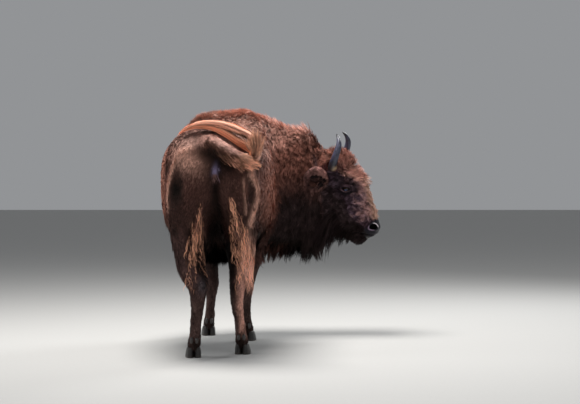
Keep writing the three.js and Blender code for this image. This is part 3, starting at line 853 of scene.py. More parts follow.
class Roots:
    """Random places on the skin, as many to a square metre as `density` says at each of its points."""

    def __init__(self, density):
        per = np.maximum(density, 0)[TRIS].mean(1) * AREAS
        reach = np.cumsum(per)
        self.count = int(reach[-1])
        pick = np.searchsorted(reach, rng.random(self.count) * reach[-1]).clip(0, len(TRIS) - 1)
        a, b = np.sqrt(rng.random(self.count)), rng.random(self.count)
        share = np.stack([1 - a, a * (1 - b), a * b], 1)

        def at(values):
            return (values[TRIS[pick]] * share[:, :, None]).sum(1)

        self.places, self.normals, weights = at(V), unit(at(NORMALS)), at(WEIGHTS)
        self.lie, self.tint = unit(at(LIE)), at(TINT)
        self.uv = (UV[pick] * share[:, :, None]).sum(1)
        self.f = fields(self.places, weights, self.normals)

    def kept(self, mask):
        for key in ("places", "normals", "lie", "tint", "uv"):
            setattr(self, key, getattr(self, key)[mask])
        self.f = SimpleNamespace(**{k: v[mask] for k, v in vars(self.f).items()})
        self.count = int(mask.sum())
        return self


# ---- Coat: tufts ----
PIECES = []
MOST_FACES = 190000  # in one piece of the coat
UV_PATCH = 0.003  # side of a tuft's patch in the map
LOWEST = 0.004  # height that no hair goes below
TAPER = {  # share of the width at each ring of a tuft, by the number of its rings
    3: [0.8, 1, 0], 4: [0.75, 1, 0.7, 0], 5: [0.7, 1, 0.9, 0.55, 0], 6: [0.7, 1, 1, 0.8, 0.5, 0],
    8: [0.7, 1, 1, 0.95, 0.85, 0.65, 0.4, 0], 10: [0.6, 0.9, 1, 1, 1, 0.95, 0.85, 0.65, 0.4, 0],
}


def ribbon_faces(rings):
    """The triangles of a ribbon of paired points that ends in a single one."""
    faces = []
    for k in range(0, 2 * (rings - 2), 2):
        faces += [[k, k + 1, k + 3], [k, k + 3, k + 2]]
    end = 2 * (rings - 1)
    return np.array(faces + [[end - 2, end - 1, end]])


def paired(left, right, end):
    """Points of both edges of each ribbon, ring by ring, then its tip."""
    both = np.stack([left, right], 2)[:, :-1]
    return np.concatenate([both.reshape(len(end), -1, 3), end[:, None]], 1)


def build_tufts(name, line, width, normals, tint, tip, uv, twist, soft=0.4):
    """Ribbons along centre lines (count, rings, 3), as one or more pieces under the size limit."""
    count, rings, _ = line.shape
    tangent = unit(np.gradient(line, axis=1))
    across = unit(np.cross(tangent, normals[:, None, :]))
    lifted = np.cross(across, tangent)
    c, s = np.cos(twist)[:, None, None], np.sin(twist)[:, None, None]
    across, lifted = across * c + lifted * s, lifted * c - across * s
    half = across * (width[:, None] * np.array(TAPER[rings])[None] / 2)[:, :, None]
    t = np.linspace(0, 1, rings)[None, :, None]
    shade = tint[:, None] * (1 - t) + tip[:, None] * t
    face = unit(lifted * np.sign((lifted * normals[:, None]).sum(2, keepdims=True) + 1e-6))
    normal = unit(normals[:, None] * soft + face * (1 - soft))
    splayed = 0.45 * across
    places = paired(line - half, line + half, line[:, -1])
    norms = unit(paired(normal - splayed, normal + splayed, normal[:, -1]))
    shades = paired(shade, shade, shade[:, -1])
    faces = ribbon_faces(rings)
    per = 2 * rings - 1
    patch = np.array([[i % 2, i // 2 / (rings - 1)] for i in range(per - 1)] + [[0.5, 1]]) - 0.5
    spots = uv[:, None] + UV_PATCH * patch[None]
    parts = math.ceil(count * len(faces) / MOST_FACES)
    made = []
    for i, chosen in enumerate(np.array_split(np.argsort(line[:, 0, 1], kind="stable"), parts)):
        label = name if parts == 1 else f"{name}_{i + 1}"
        index = (np.arange(len(chosen))[:, None, None] * per + faces[None]).reshape(-1, 3)
        mesh = mesh_from(label, places[chosen].reshape(-1, 3), index)
        write(mesh, "tint", shades[chosen].reshape(-1, 3))
        corners = spots[chosen].reshape(-1, 2)[index.ravel()].astype(np.float32)
        mesh.uv_layers.new(name="OFBake").data.foreach_set("uv", corners.ravel())
        mesh.normals_split_custom_set_from_vertices(norms[chosen].reshape(-1, 3).astype(np.float32))
        obj = new_object(label, mesh)
        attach(obj, "root")
        made.append(obj)
    PIECES.extend(made)
    return made


def leaders_of(places, share):
    """For each tuft the one whose lock it joins."""
    lead = np.flatnonzero(rng.random(len(places)) < share)
    tree = KDTree(len(lead))
    for i, k in enumerate(lead):
        tree.insert(places[k], i)
    tree.balance()
    return lead[np.array([tree.find(p)[1] for p in places])]


def coat(name, roots, length, width, lift, rings=6, settle=0.6, droop=0.0, curl=0.0,
         turns=1.0, clump=0.6, leaders=0.07, spread=0.25, tip=1.35, sink=0.003, soft=0.4, vary=0.18,
         base=0.45, gleam=0.15, bleach=0.06, dark=0.08, tone=0.28, tip_tint=None, root_tint=None):
    """Grows a tuft from each root. Sizes, angles, curls and `tip` may be one value per root.
    Tufts join `leaders` in locks by a share `clump`; shares `dark` and `gleam` of the locks stand out."""
    n = roots.count

    def per(value):
        return np.broadcast_to(np.asarray(value, float), (n,))

    length = per(length) * (1 + per(vary) * rng.uniform(-1.6, 1, n))
    width, lift = per(width) * rng.uniform(0.75, 1.25, n), per(lift) + rng.normal(0, 0.1, n)
    side = np.cross(roots.normals, roots.lie)
    yaw = rng.normal(0, 1, n) * per(spread)
    flat = roots.lie * np.cos(yaw)[:, None] + side * np.sin(yaw)[:, None]
    t = np.linspace(0, 1, rings)
    line = np.empty((n, rings, 3))
    line[:, 0] = roots.places - roots.normals * sink
    for k in range(1, rings):
        angle = lift * (1 - settle * t[k])
        way = flat * np.cos(angle)[:, None] + roots.normals * np.sin(angle)[:, None]
        way = unit(way + DOWN * (per(droop) * t[k])[:, None])
        line[:, k] = line[:, k - 1] + way * (length / (rings - 1))[:, None]
    mine = leaders_of(roots.places, leaders)
    line += (line[mine] - line) * (per(clump)[:, None] * t[None] ** 1.5)[:, :, None]
    phase = rng.uniform(0, 2 * np.pi, n)[mine] + rng.normal(0, 0.35, n)
    across = np.cross(roots.normals, flat)[mine]
    wave = phase[:, None] + 2 * np.pi * per(turns)[:, None] * t[None]
    size = (per(curl)[:, None] * t[None] ** 0.7)[:, :, None]
    line += size * across[:, None] * np.sin(wave)[:, :, None]
    line += size * 0.6 * roots.normals[:, None] * np.cos(wave)[:, :, None]
    line[:, :, 2] = np.maximum(line[:, :, 2], LOWEST)
    lock = np.clip(rng.normal(1, tone, n), 0.4, 1.8)
    lock = np.where(rng.random(n) < dark, 0.35, lock)[mine]
    shine = np.where(rng.random(n) < gleam, 1.7, 1.0)[mine]
    shade = (lock * np.clip(rng.normal(1, 0.64 * tone, n), 0.5, 1.6))[:, None]
    tips = (roots.tint if tip_tint is None else tip_tint) * (per(tip) * shine)[:, None] * shade
    tips = tips + bleach * (tips.mean(1, keepdims=True) - tips)
    low = (roots.tint if root_tint is None else root_tint) * base * shade
    return build_tufts(name, line, width, roots.normals, low, limited(tips, 0.8), roots.uv,
                       rng.normal(0, 1, n) * 0.5, soft)


def limited(tints, most):
    """Darkens the tints of which a channel is over a limit, and keeps their hue."""
    return tints * np.minimum(1, most / tints.max(1, keepdims=True))


# ---- Coat: its layers ----
HAIRY = 1 - BARE
CLEAR = step(EYE_GAP, 1.05, 1.35)  # no hair in the opening of the eye


def grow_short_coat():
    """The flat coat of trunk, haunches and legs."""
    share = (F.trunk + F.hind + F.fore + F.dock) * (1 - woolly(F))
    shin = F.leg * step(F.z, 0.55, 0.38)
    bare = vulva(F, 26, 58) * step(F.y, 0.2, 0.3)
    roots = Roots(share * (34000 + 22000 * shin) * step(F.z, 0.03, 0.045) * (1 - bare))
    f = roots.f
    low = f.leg * step(f.z, 0.6, 0.35)
    rear = step(f.ny, 0.3, 0.8) * step(f.y, 0.3, 0.45) * (1 - low)
    foot = step(f.z, 0.12, 0.07) * low
    belly = step(f.nz, -0.5, -0.8) * f.trunk
    thigh = f.hind * step(f.z, 0.4, 0.55) * (1 - rear)
    length = 0.034 - 0.013 * low - 0.01 * rear + 0.014 * foot + 0.045 * belly + 0.012 * thigh
    lift = 0.34 - 0.06 * low + 0.12 * thigh - 0.06 * rear
    coat("coat_short", roots, length, 0.003 - 0.0004 * low, lift, rings=3, clump=0.3,
         leaders=0.08, spread=0.16, sink=0.002, tip=1.35 - 0.1 * low - 0.2 * step(f.nz, 0.2, 0.8),
         base=0.8, gleam=0, dark=0.03, tone=0.15, droop=0.3 * foot + 1.5 * belly, soft=0.7,
         vary=0.25 + 0.2 * belly)


def grow_wool():
    """The wool of shoulders, hump and neck, and the longest hair over it."""
    wool = woolly(F)
    roots = Roots((wool + F.head * step(F.along, 0.08, 0.0)) * 39000)
    f = roots.f
    crest = step(f.nz, 0.3, 0.85)
    by_ear = step(ear_near(f), 0.1, 0.045)
    length = (0.052 + 0.014 * (1 - step(f.z, 0.8, 1.25)) + 0.014 * crest * f.neck) * (1 - 0.65 * by_ear)
    length = length * (0.55 + 0.45 * step(woolly(f), 0.1, 0.8))
    length = length + 0.03 * crest * bump(past_nape(roots.places), 0.01, 0.07)
    coat("coat_wool", roots, length, 0.003, 0.6 + 0.3 * crest - 0.3 * by_ear, rings=4,
         clump=0.66 - 0.25 * crest, leaders=0.1, curl=0.004, turns=1.3, spread=0.38, tip=2.0, settle=0.45,
         gleam=0.1, soft=0.5, vary=0.28)
    roots = Roots(wool * 3000 * step(F.nz, 0.9, 0.4) * step(ear_near(F), 0.09, 0.14))
    coat("coat_locks", roots, 0.095, 0.0042, 0.34, clump=0.7, leaders=0.12, curl=0.007, turns=1.5,
         spread=0.4, tip=1.7, droop=0.5, base=0.5)


def grow_face():
    """Short hair of the face, the curls over cheek and nose, and the cap between the horns."""
    face = F.head * CLEAR * HAIRY * step(F.along, 0.0, 0.06) * step(nostril_reach(F), 1.35, 1.65)
    roots = Roots(face * (1 - 0.8 * forehead(F)) * 140000 + F.ear * 90000 * (1 - 0.8 * ear_cup(F)))
    f = roots.f
    nose = step(f.along, 0.42, 0.49) * step(f.rise, -0.12, -0.08)
    fine = np.clip(step(eye_near(f), 0.072, 0.036) + nose + f.ear, 0, 1)
    jaw = step(f.rise, -0.1, -0.18)
    length = 0.025 - 0.016 * fine + 0.014 * jaw * step(f.along, 0.44, 0.36) + 0.004 * f.ear
    coat("coat_face", roots, length, 0.0019 - 0.0005 * fine, 0.45 - 0.22 * fine, rings=4,
         clump=0.6 - 0.35 * fine, leaders=0.06, spread=0.45, tip=2.1 - 0.4 * fine, sink=0.001, tone=0.36,
         gleam=0.2, curl=0.003 * (1 - fine), soft=0.5, droop=0.8 * jaw)
    cheeks = step(F.along, 0.1, 0.16) * step(F.along, 0.475, 0.43) * (1 - 0.7 * forehead(F))
    roots = Roots(F.head * HAIRY * cheeks * step(eye_near(F), 0.04, 0.062) * 34000)
    f = roots.f
    coat("coat_curls", roots, 0.034 + 0.012 * step(f.along, 0.25, 0.12), 0.0024, 0.8, clump=0.8,
         leaders=0.06, curl=0.0065 - 0.003 * step(f.rise, 0.01, 0.06), spread=0.75, tip=3.0, settle=0.4,
         base=0.35, gleam=0.34, tone=0.4, bleach=0.2, soft=0.45)
    roots = Roots(F.head * forehead(F) * CLEAR * step(F.along, -0.06, -0.02) * 90000)
    f = roots.f
    coat("coat_forehead", roots, 0.056 + 0.008 * step(f.along, 0.02, 0.1), 0.0022, 1.12, rings=5,
         clump=0.55, curl=0.004, spread=0.5, tip=2.0 + 0.5 * step(f.nz, 0.2, 0.9), settle=0.35, gleam=0.1,
         soft=0.5)


# ---- Hanging hair ----
def streak(f, heights, middles, halves):
    """1 inside an upright streak whose middle and half width change with height. In mm."""
    z, middles, halves = (np.array(v) / 1000 for v in (heights, middles, halves))
    middle, half = np.interp(f.z, z, middles), np.interp(f.z, z, halves)
    ends = step(f.z, z[0] - 0.04, z[0]) * step(f.z, z[-1] + 0.03, z[-1])
    return step(np.abs(f.x - middle) / half, 1.1, 0.65) * ends


def grow_breeches():
    """The ginger locks down the back of both thighs."""
    rear = step(F.ny, 0.05, 0.5) * step(F.y, 0.33, 0.42) * step(F.hind + F.trunk, 0.3, 0.6)
    left = streak(F, [520, 640, 780, 900], [99, 90, 85, 58], [45, 48, 36, 12])
    right = streak(F, [520, 620, 780, 930], [-206, -202, -146, -104], [55, 78, 54, 14])
    roots = Roots(rear * (left + right) * 20000)
    grain = waves(roots.f.b * [1, 1, 0.15], 0.018, 51)
    ginger = step(grain, -0.7, 0.25) * step(rng.random(roots.count), 0.1, 0.46)
    coat("coat_thigh_locks", roots, 0.12, 0.0036, 0.24, rings=10, leaders=0.15,
         curl=0.008, turns=1.8, spread=0.14, tip=1.6, droop=1.6, base=0.7, gleam=0.2, bleach=0.0, vary=0.45,
         dark=0.4, tip_tint=mix(roots.tint, GINGER, ginger), root_tint=mix(roots.tint, GINGER, ginger * 0.6))


def hanging(solid, density, nearest):
    """Roots above a solid of hanging hair and at most so far from it, and the length down to its tips."""
    tree, _ = solids_tree(solid)
    roots = Roots(density)
    length = np.zeros(roots.count)
    for i, p in enumerate(roots.places):
        start, seen = Vector(p), 0.0
        for k in range(4):
            at, _, _, far = tree.ray_cast(start, Vector(DOWN), 0.4)
            if at is None or (k == 0 and far > nearest):
                break
            seen = p[2] - at.z
            start = at - Vector((0, 0, 0.0005))
        length[i] = seen
    keep = length > 0.03
    return roots.kept(keep), length[keep]


def grow_fringes():
    """The fringe under throat and neck, and the beard."""
    roots, length = hanging("throat_mane", F.neck * step(F.nz, 0.2, -0.3) * 95000, 0.075)
    brown = mix(roots.tint * 1.5, NECK, step(roots.f.x, -0.5, -0.34) * 0.7)
    throat, = coat("coat_throat", roots, length * 1.02, 0.0044, 0.5, rings=8, clump=0.78, curl=0.008,
                   turns=1.5, spread=0.4, tip=1.1, droop=3.0, vary=0.4, tip_tint=brown, base=0.7)
    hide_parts("throat_mane")
    density = F.head * step(F.nz, -0.25, -0.65) * step(F.along, 0.1, 0.2) * 210000
    roots, length = hanging("beard", density, 0.045)
    beard, = coat("coat_beard", roots, length, 0.004, 0.5, rings=8, clump=0.75, leaders=0.08, curl=0.007,
                  turns=1.4, spread=0.45, tip=0.9, droop=3.0, vary=0.42, base=0.7, gleam=0.03)
    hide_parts("beard")


def grow_ear_hair():
    """Short hair along the edge of the ear, long at its front, and a few pale hairs in its cup."""
    roots = Roots(ear_rim(F) * 110000 + ear_cup(F) * 14000)
    length, side, _ = ear_places(roots.f)
    low, end = step(side, 0.012, -0.015), step(length, 0.05, 0.11)
    pale = step(rng.random(roots.count), 0.25, 0.6) * (1 - 0.8 * step(length, 0.06, 0.11))
    coat("coat_ears", roots, (0.016 + 0.028 * low) * (1 - 0.65 * end), 0.0019, 0.5, spread=0.45, tip=1.15,
         droop=0.3 + 1.4 * low, sink=0.001, base=0.8, tip_tint=mix(roots.tint, EAR_PALE_HAIR_AND_HIGHLIGHT, pale), vary=0.35)


def grow_dock_fringe():
    """The golden fringe under the dock."""
    roots = Roots(F.dock * (step(F.nz, 0.15, -0.4) * step(F.x, -0.01, -0.09)) * 80000)
    share = step(roots.f.x, 0.03, -0.12) * step(rng.random(roots.count), 0.2, 0.5)
    coat("coat_dock_fringe", roots, 0.066, 0.0024, 0.28, rings=8, clump=0.72,
         leaders=0.06, tip=1.05, droop=0.3, curl=0.005, base=0.6, gleam=0.2, bleach=0.1, vary=0.4, dark=0.25,
         tip_tint=mix(roots.tint, GOLD, share))


# ---- Tail tuft ----
GOLD, PALE_GOLD_HIGHLIGHT = colour(240, 166, 132), colour(238, 188, 162)
TUFT_UNDER, TUFT_HIGHLIGHT, TUFT_DARK_AND_SHADE = colour(190, 116, 82), colour(236, 182, 160), colour(44, 28, 25)


def smooth_curve(stations, t):
    """A uniform Catmull-Rom curve through stations, at t from 0 to 1."""
    p = np.asarray(stations, float)
    p = np.r_[2 * p[:1] - p[1:2], p, 2 * p[-1:] - p[-2:-1]]
    u = np.clip(t, 0, 1) * (len(p) - 3)
    i = np.minimum(u.astype(int), len(p) - 4)
    u = (u - i)[..., None]
    a, b, c, d = (p[i + k] for k in range(4))
    square, cube = 2 * a - 5 * b + 4 * c - d, 3 * b - a - 3 * c + d
    return 0.5 * (2 * b + (c - a) * u + square * u ** 2 + cube * u ** 3)


# Places, half widths across and upward: from the end of the dock up over the croup to the left hip.
TUFT = np.array([
    [-240, 700, 1152, 26, 20], [-252, 676, 1184, 34, 30], [-236, 640, 1228, 40, 42],
    [-196, 606, 1262, 44, 48], [-150, 592, 1286, 46, 50], [-88, 576, 1322, 44, 44],
    [0, 560, 1350, 40, 29], [80, 546, 1353, 34, 19], [140, 536, 1336, 25, 12],
    [182, 528, 1312, 13, 6], [208, 523, 1284, 5, 3],
]) / 1000
TUFT_RINGS = 10


def tuft_lines(start, end, angle, reach, sway):
    """Lines within the tuft, each at its own place in the section."""
    t = start[:, None] + (end - start)[:, None] * np.linspace(0, 1, TUFT_RINGS)[None]
    at = smooth_curve(TUFT, t)
    line, wide, tall = at[..., :3], at[..., 3], at[..., 4]
    tangent = unit(np.gradient(line, axis=1))
    across = unit(np.array([0, 1.0, 0]) - tangent * tangent[..., 1:2])
    rise = np.cross(tangent, across)
    u, v = (np.cos(angle) * reach)[:, None], (np.sin(angle) * reach)[:, None]
    parted = 0.4 * step(t, 0.62, 0.3)
    v = np.sign(v) * (parted + (1 - parted) * np.abs(v)) * np.where(v < 0, 0.8, 1)
    drift = sway[:, None] * (t - start[:, None]) * np.sin(5 * t + 8 * angle[:, None])
    line = line + across * ((u + drift) * wide)[..., None] + rise * ((v + 0.6 * drift) * tall)[..., None]
    normals = unit(across[:, 0] * u + rise[:, 0] * v[:, :1] + np.array([0, 0.5, 0.6]))
    return line + np.array(SHIFT), normals


def lock_tints(start, end, height, locks):
    """Colours of each lock at its root and its tip: the upper locks paler as a painted highlight, painted
    shade in the gap where the tuft parts, and some locks dark at random.
    """
    count = len(start)
    kind = rng.random(count)
    # painted shade in the gap where the tuft parts, and locks dark at random
    gap = np.maximum(bump(height, 0.0, 0.34) * step(start, 0.4, 0.3), (kind < 0.14) * 1.0)
    # painted highlight: the upper locks paler
    above = step(height, -0.25, 0.55)
    base = painted(TUFT_UNDER, (TUFT_HIGHLIGHT, above), (TUFT_DARK_AND_SHADE, gap))
    tips = painted(GOLD, (PALE_GOLD_HIGHLIGHT, above * step(kind, 0.2, 0.5)),
                   (TUFT_DARK_AND_SHADE, gap * step(end, 0.85, 0.55) * 0.8))
    tone = np.clip(rng.normal(1.0, 0.26, count), 0.5, 1.5)[:, None]
    base, tips = base * tone, tips * tone
    base[locks:], tips[locks:] = base[locks:] * 0.4 + DOCK * 0.6, DOCK_END * 0.75 * tone[locks:]
    return base, tips


def grow_tail(locks=84, hairs=52, sprays=50, spray_hairs=12):
    """The tuft: locks that taper to points, and sprays thrown up from the end of the dock."""
    count = locks + sprays
    start = rng.uniform(0, 0.5, count) ** 1.4
    end = start + (1 - start) * rng.uniform(0.3, 1.0, count) ** 0.7
    start[locks:] = rng.uniform(0.0, 0.12, sprays)
    end[locks:] = start[locks:] + rng.uniform(0.06, 0.16, sprays)
    angle, reach = rng.uniform(0, 2 * np.pi, count), 0.35 + 0.65 * np.sqrt(rng.random(count))
    base, tips = lock_tints(start, end, np.sin(angle) * reach, locks)
    lines, normals = tuft_lines(start, end, angle, reach, rng.normal(0, 0.5, count))
    t = np.linspace(0, 1, TUFT_RINGS)
    lift = t[None, :, None] ** 1.3
    throw = rng.normal((-0.002, 0.0, 0.09), (0.02, 0.02, 0.04), (sprays, 3))
    foot = lines[locks:, :1]
    lines[locks:] = foot + (lines[locks:] - foot) * (1 - lift * 0.8) + throw[:, None] * lift
    own = np.repeat(np.arange(count), np.where(np.arange(count) < locks, hairs, spray_hairs))
    n = len(own)
    fan = np.where((own >= locks)[:, None, None], 0.004, 0.004 * (1.1 - t ** 1.5)[None, :, None])
    loose = rng.normal(0, 1, (n, 1, 3)) * fan
    at = rng.uniform(0.62, 1.0, n)[:, None] * (TUFT_RINGS - 1) * t[None]
    low = np.minimum(at.astype(int), TUFT_RINGS - 2)
    part_way = (at - low)[..., None]
    line = lines[own[:, None], low] * (1 - part_way) + lines[own[:, None], low + 1] * part_way + loose
    tone = np.clip(rng.normal(1, 0.18, n), 0.5, 1.6)[:, None]
    spot = VERTEX_UV[rng.choice(np.flatnonzero((F.dock > 0.4) & (F.x < -0.14)), n)]
    tuft, = build_tufts("coat_tail_tuft", line, rng.uniform(0.002, 0.0042, n), normals[own],
                        limited(base[own] * tone, 0.55), limited(tips[own] * tone, 0.8), spot,
                        rng.normal(0, 0.6, n))
    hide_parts("tail_tuft")


for grow in (grow_short_coat, grow_wool, grow_face, grow_breeches, grow_fringes, grow_ear_hair,
             grow_dock_fringe, grow_tail):
    grow()


# ---- Finishes ----
class Finish:
    """A material, and the nodes that feed its shader."""

    def __init__(self, name, **values):
        self.material = bpy.data.materials.new(name)
        self.material.use_nodes = True
        self.tree = self.material.node_tree
        self.shader = self.tree.nodes["Principled BSDF"]
        for key, value in values.items():
            self.shader.inputs[key.replace("_", " ")].default_value = value

    def node(self, kind, inputs=None, output=0, **settings):
        """The output of a new node. Each input is a value or another node's output."""
        made = self.tree.nodes.new("ShaderNode" + kind)
        for key, value in settings.items():
            setattr(made, key, value)
        for key, value in (inputs or {}).items():
            if isinstance(value, bpy.types.NodeSocket):
                self.tree.links.new(value, made.inputs[key])
            else:
                made.inputs[key].default_value = value
        return made.outputs[output]

    def feed(self, key, socket):
        self.tree.links.new(socket, self.shader.inputs[key])

    def places(self):
        return self.node("TexCoord", output="Object")

    def noise(self, places, scale, detail=2.0):
        return self.node("TexNoise", {"Vector": places, "Scale": scale, "Detail": detail}, "Fac")

    def ranged(self, socket, low, high, **more):
        more = {key.replace("_", " "): value for key, value in more.items()}
        return self.node("MapRange", {"Value": socket, "To Min": low, "To Max": high, **more}, "Result")

    def tinted(self, amount):
        """Takes the base colour from the mesh, times an amount."""
        tint = self.node("Attribute", output="Color", attribute_name="tint")
        self.feed("Base Color", self.node("VectorMath", {0: tint, "Scale": amount}, operation="SCALE"))

    def relief(self, height, strength, distance):
        values = {"Height": height, "Strength": strength, "Distance": distance}
        self.feed("Normal", self.node("Bump", values, "Normal"))


WARM = (1.0, 0.78, 0.66, 1)


def plain_finish(name, scale, low, high, **values):
    """Tinted by the mesh, with specks."""
    made = Finish(name, **values)
    made.tinted(made.ranged(made.noise(made.places(), scale), low, high))
    return made.material


def hair_finish(name, low, high):
    return plain_finish(name, 190.0, low, high, Roughness=0.5, Specular_IOR_Level=0.08, Specular_Tint=WARM)


def pelt_finish():
    """Flat fur: fine streaks in colour and relief that follow the lie of the coat."""
    pelt = Finish("pelt", Roughness=0.6, Specular_IOR_Level=0.1, Specular_Tint=WARM)
    place = pelt.places()
    flow = pelt.node("Attribute", output="Vector", attribute_name="lie")
    along = pelt.node("VectorMath", {0: place, 1: flow}, "Value", operation="DOT_PRODUCT")
    most = pelt.node("Math", {0: along, 1: 0.88}, operation="MULTIPLY")
    drawn_out = pelt.node("VectorMath", {0: flow, "Scale": most}, operation="SCALE")
    squeezed = pelt.node("VectorMath", {0: place, 1: drawn_out}, operation="SUBTRACT")
    streaks = [pelt.noise(squeezed, scale, 3.0) for scale in (420.0, 85.0)]
    both = pelt.node("Math", dict(enumerate(streaks)), operation="ADD")
    pelt.tinted(pelt.ranged(both, 0.35, 1.75, From_Min=0.6, From_Max=1.4))
    pelt.relief(both, 0.8, 0.004)
    return pelt.material


def nose_finish():
    """Moist bare skin, cobbled."""
    nose = Finish("nose", Roughness=0.4, Specular_IOR_Level=0.22)
    place = nose.places()
    cells = nose.node("TexVoronoi", {"Vector": place, "Scale": 190.0}, "Distance")
    fine = nose.noise(place, 330.0, 4.0)
    nose.tinted(nose.ranged(cells, 1.35, 0.65))
    nose.feed("Roughness", nose.ranged(fine, 0.3, 0.55))
    nose.relief(nose.node("Math", {0: fine, 1: cells}, operation="SUBTRACT"), 0.7, 0.0016)
    return nose.material


def horn_finish():
    horn = Finish("horn", Roughness=0.4, Coat_Weight=0.15, Coat_Roughness=0.2)
    noise = horn.noise(horn.places(), 55.0, 6.0)
    horn.tinted(horn.ranged(noise, 0.8, 1.9))
    horn.feed("Roughness", horn.ranged(noise, 0.3, 0.55))
    horn.relief(noise, 0.25, 0.002)
    return horn.material


HAIR, GOLDEN = hair_finish("hair", 0.7, 1.3), hair_finish("golden_hair", 1.15, 1.85)
for piece in PIECES:
    golden = piece.name in ("coat_tail_tuft", "coat_dock_fringe", "coat_thigh_locks")
    piece.data.materials.append(GOLDEN if golden else HAIR)
skin.data.materials.append(pelt_finish())
skin.data.materials.append(nose_finish())
skin.data.materials.append(plain_finish("nostril", 240.0, 0.6, 1.2, Roughness=0.9, Specular_IOR_Level=0.02))
wet, hollow = BARE[TRIS].mean(1) > 0.5, (nostril_reach(F) < 0.98)[TRIS].all(1)
skin.data.polygons.foreach_set("material_index", np.where(hollow, 2, wet * 1).astype(np.int32))
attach(skin, "root")
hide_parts(*LABELS)


# ---- Stage ----
FLOOR_REACH = 30


def lay_floor():
    r = FLOOR_REACH
    mesh = mesh_from("floor", [[-r, -r, 0], [r, -r, 0], [r, r, 0], [-r, r, 0]], [[0, 1, 2, 3]])
    pale = Finish("floor", Roughness=0.8)
    tones = {1: (0.42, 0.42, 0.41, 1), 2: (0.45, 0.45, 0.44, 1)}
    pale.feed("Base Color", pale.node("MixRGB", {0: pale.noise(pale.places(), 40.0), **tones}))
    mesh.materials.append(pale.material)
    new_object("floor", mesh)


def softbox(name, place, target, size, power, tone=(1, 1, 1)):
    lamp = bpy.data.lights.new(name, "AREA")
    lamp.shape, lamp.size, lamp.energy, lamp.color = "DISK", size, power, tone
    obj = new_object(name, lamp)
    obj.location = place
    obj.rotation_euler = (Vector(target) - Vector(place)).to_track_quat("-Z", "Y").to_euler()


lay_floor()
softbox("key", (0.7, -0.1, 4.8), (0, 0, 0.9), 2.0, 330, (1, 0.97, 0.94))
softbox("rim", (-2.6, -3.2, 3.6), (-0.4, -0.4, 1.0), 1.8, 130)
softbox("left", (4.4, 1.4, 2.8), (0, 0, 0.9), 1.8, 60)
softbox("front", (-2.4, 5.4, 3.2), (0, 0, 0.9), 2.4, 55)
world = bpy.data.worlds.new("studio")
world.use_nodes = True
sky = world.node_tree.nodes["Background"].inputs
sky["Color"].default_value, sky["Strength"].default_value = (0.8, 0.82, 0.85, 1), 0.36
bpy.context.scene.world = world
bpy.context.scene.view_settings.view_transform = "Standard"


# ---- Horns, hooves and eyes ----
def add_piece(name, mesh, tint, finish, slot, *replaced):
    write(mesh, "tint", tint)
    obj = new_object(name, mesh)
    mesh.materials.append(finish)
    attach(obj, "root")
    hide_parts(*replaced)


def lofted(name, rings):
    """A skin over rings of points."""
    rings = np.asarray(rings)
    return mesh_from(name, rings.reshape(-1, 3), halved(grid_quads(rings.shape[0], rings.shape[1])))


# Out, along and rise on the head, and half thickness.
HORN = np.array([
    [76, 54, -32, 38], [106, 41, -18, 29], [124, 15, 14, 25], [128, -15, 56, 22], [119, -54, 97, 18],
    [98, -94, 112, 11], [74, -127, 110, 3.5],
]) / 1000
HORN_ROUND = 0.9  # share of the way up from which the tip is rounded
HORN_GREY, HORN_BLUE, HORN_TIP = colour(24, 24, 27), colour(52, 54, 72), colour(14, 14, 17)
HORN_STAIN, HORN_CREAM = colour(20, 19, 21), colour(168, 140, 112)
HOOF_SOLE, HOOF_WALL, HOOF_TOP = colour(50, 44, 40), colour(26, 23, 22), colour(40, 33, 30)
IRIS, SCLERA, PUPIL, SKY_REFLECTION = colour(44, 29, 23), colour(18, 13, 13), colour(8, 8, 12), colour(160, 178, 240)


def horn(s, rows=96, spokes=40):
    """Rings of points up a horn, with the colour of each."""
    t = np.linspace(0, 1, rows)
    at = smooth_curve(HORN, t)
    centres = np.array([on_head(s * o, a, r) for o, a, r in at[:, :3]])
    tangent = unit(np.gradient(centres, axis=0))
    first = np.array(head_vector(0, 1, 0.2))
    front = unit(first - tangent * (tangent @ first)[:, None])
    across = np.cross(tangent, front)
    tip = np.sqrt(np.maximum(1 - ((t - HORN_ROUND) / (1 - HORN_ROUND)) ** 2, 0.0025))
    size = at[:, 3] * np.where(t > HORN_ROUND, tip, 1)
    w = turns_of(spokes)[None, :, None]
    up = t[:, None, None]
    groove = 0.035 * np.sin(46 * up + 0.8 * np.sin(w)) * np.maximum(0, 0.55 - up)
    groove = groove + 0.012 * np.sin(9 * w + 6 * up)
    ring = front[:, None] * np.cos(w) + across[:, None] * np.sin(w)
    rings = centres[:, None] + ring * size[:, None, None] * (1 + groove)
    up, angle = (up + 0 * w).ravel(), (w + 0 * up).ravel()
    cream = np.clip(1 - np.abs(up - 0.17) / 0.1, 0, 1) * np.maximum(0, np.cos(angle)) ** 2
    return rings, painted(
        HORN_GREY,
        (HORN_BLUE, step(up, 0.12, 0.5)),
        (HORN_TIP, step(up, 0.72, 0.95)),
        (HORN_STAIN, 0.6 * step(waves(rings.reshape(-1, 3), 0.03, 61), 0.1, 0.9)),
        (HORN_CREAM, np.clip(cream * 1.2, 0, 1)),
    )


def hoof_mesh(names):
    """The hooves, with the two claws of a foot moved a little together."""
    mesh = bpy.data.meshes.new("hooves")
    with opened(mesh) as whole:
        for name in names:
            claw = fused([name], HOOF_VOXEL)
            settle(claw, 16)
            pair = (centre(name[:-1] + "a") + centre(name[:-1] + "b")) / 2
            claw.transform(Matrix.Translation((pair - centre(name)) * 0.13))
            whole.from_mesh(claw)
    p = vertex_places(mesh)
    p[:, 2] = np.where(p[:, 2] < 0.005, 0, p[:, 2])
    mesh.vertices.foreach_set("co", p.ravel())
    mesh.shade_smooth()
    return mesh, p


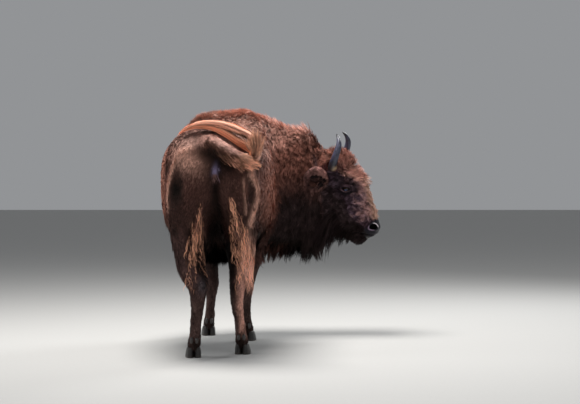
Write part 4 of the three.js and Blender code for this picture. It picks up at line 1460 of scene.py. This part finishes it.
def hoof_tint(p):
    z = p[:, 2]
    c = painted(HOOF_SOLE, (HOOF_WALL, step(z, 0.0, 0.02)), (HOOF_TOP, step(z, 0.045, 0.07)))
    return c * (1 + 0.22 * np.sin(z * 900 + 2 * waves(p, 0.05, 9)))[:, None]


def eyeball(s, rows=56, spokes=72):
    """Rings of points round the gaze, and the eye's colours on them, with a painted reflection of the sky.
    """
    gaze = unit(np.array(head_vector(s * 0.95, 0.2, 0.02)))
    sky = np.array(head_vector(0, -EYE_SIN, EYE_COS))
    up = unit(sky - gaze * (gaze @ sky))
    level = np.cross(gaze, up)
    from_gaze = np.pi * np.linspace(0.0004, 0.9996, rows)
    a, w = np.meshgrid(from_gaze, turns_of(spokes), indexing="ij")
    x, y = np.sin(a) * np.cos(w), np.sin(a) * np.sin(w)
    way = gaze * np.cos(a)[..., None] + level * x[..., None] + up * y[..., None]
    rings = np.array(EYES[s]) + way * (EYE_RADIUS * (1 + 0.045 * bump(a, 0, 0.5)))[..., None]
    a, w, x, y = a.ravel(), w.ravel(), x.ravel(), y.ravel()
    c = mix(IRIS, SCLERA, step(a, 0.5, 0.72))
    c = c * (1 + 0.25 * np.sin(w * 37) * step(a, 0.2, 0.5))[:, None]
    # painted reflection of the sky: a pale blue crescent low on the eye
    reflection = bump(y, -0.2, 0.1) * step(np.abs(x), 0.62, 0.3)
    return rings, painted(c, (PUPIL, step(np.hypot(x / 0.42, y / 0.2), 1.15, 0.9)), (SKY_REFLECTION, reflection * 0.95))


HARD = horn_finish()
GLASS = plain_finish("eye", 300.0, 0.85, 1.15, Roughness=0.08, Specular_IOR_Level=0.2, Coat_Weight=0.12,
                     Coat_Roughness=0.03)
for s, side in ((1, "left"), (-1, "right")):
    for kind, shape, finish in (("horn", horn, HARD), ("eye", eyeball, GLASS)):
        rings, tint = shape(s)
        name = kind + "_" + side
        add_piece(name + "_fine", lofted(name + "_fine", rings), tint, finish, kind, name)
feet = [n for n in nodes if n.startswith("hoof_") or n.startswith("dewclaw_")]
mesh, places = hoof_mesh(feet)
add_piece("hooves", mesh, hoof_tint(places), HARD, "hoof", *feet)
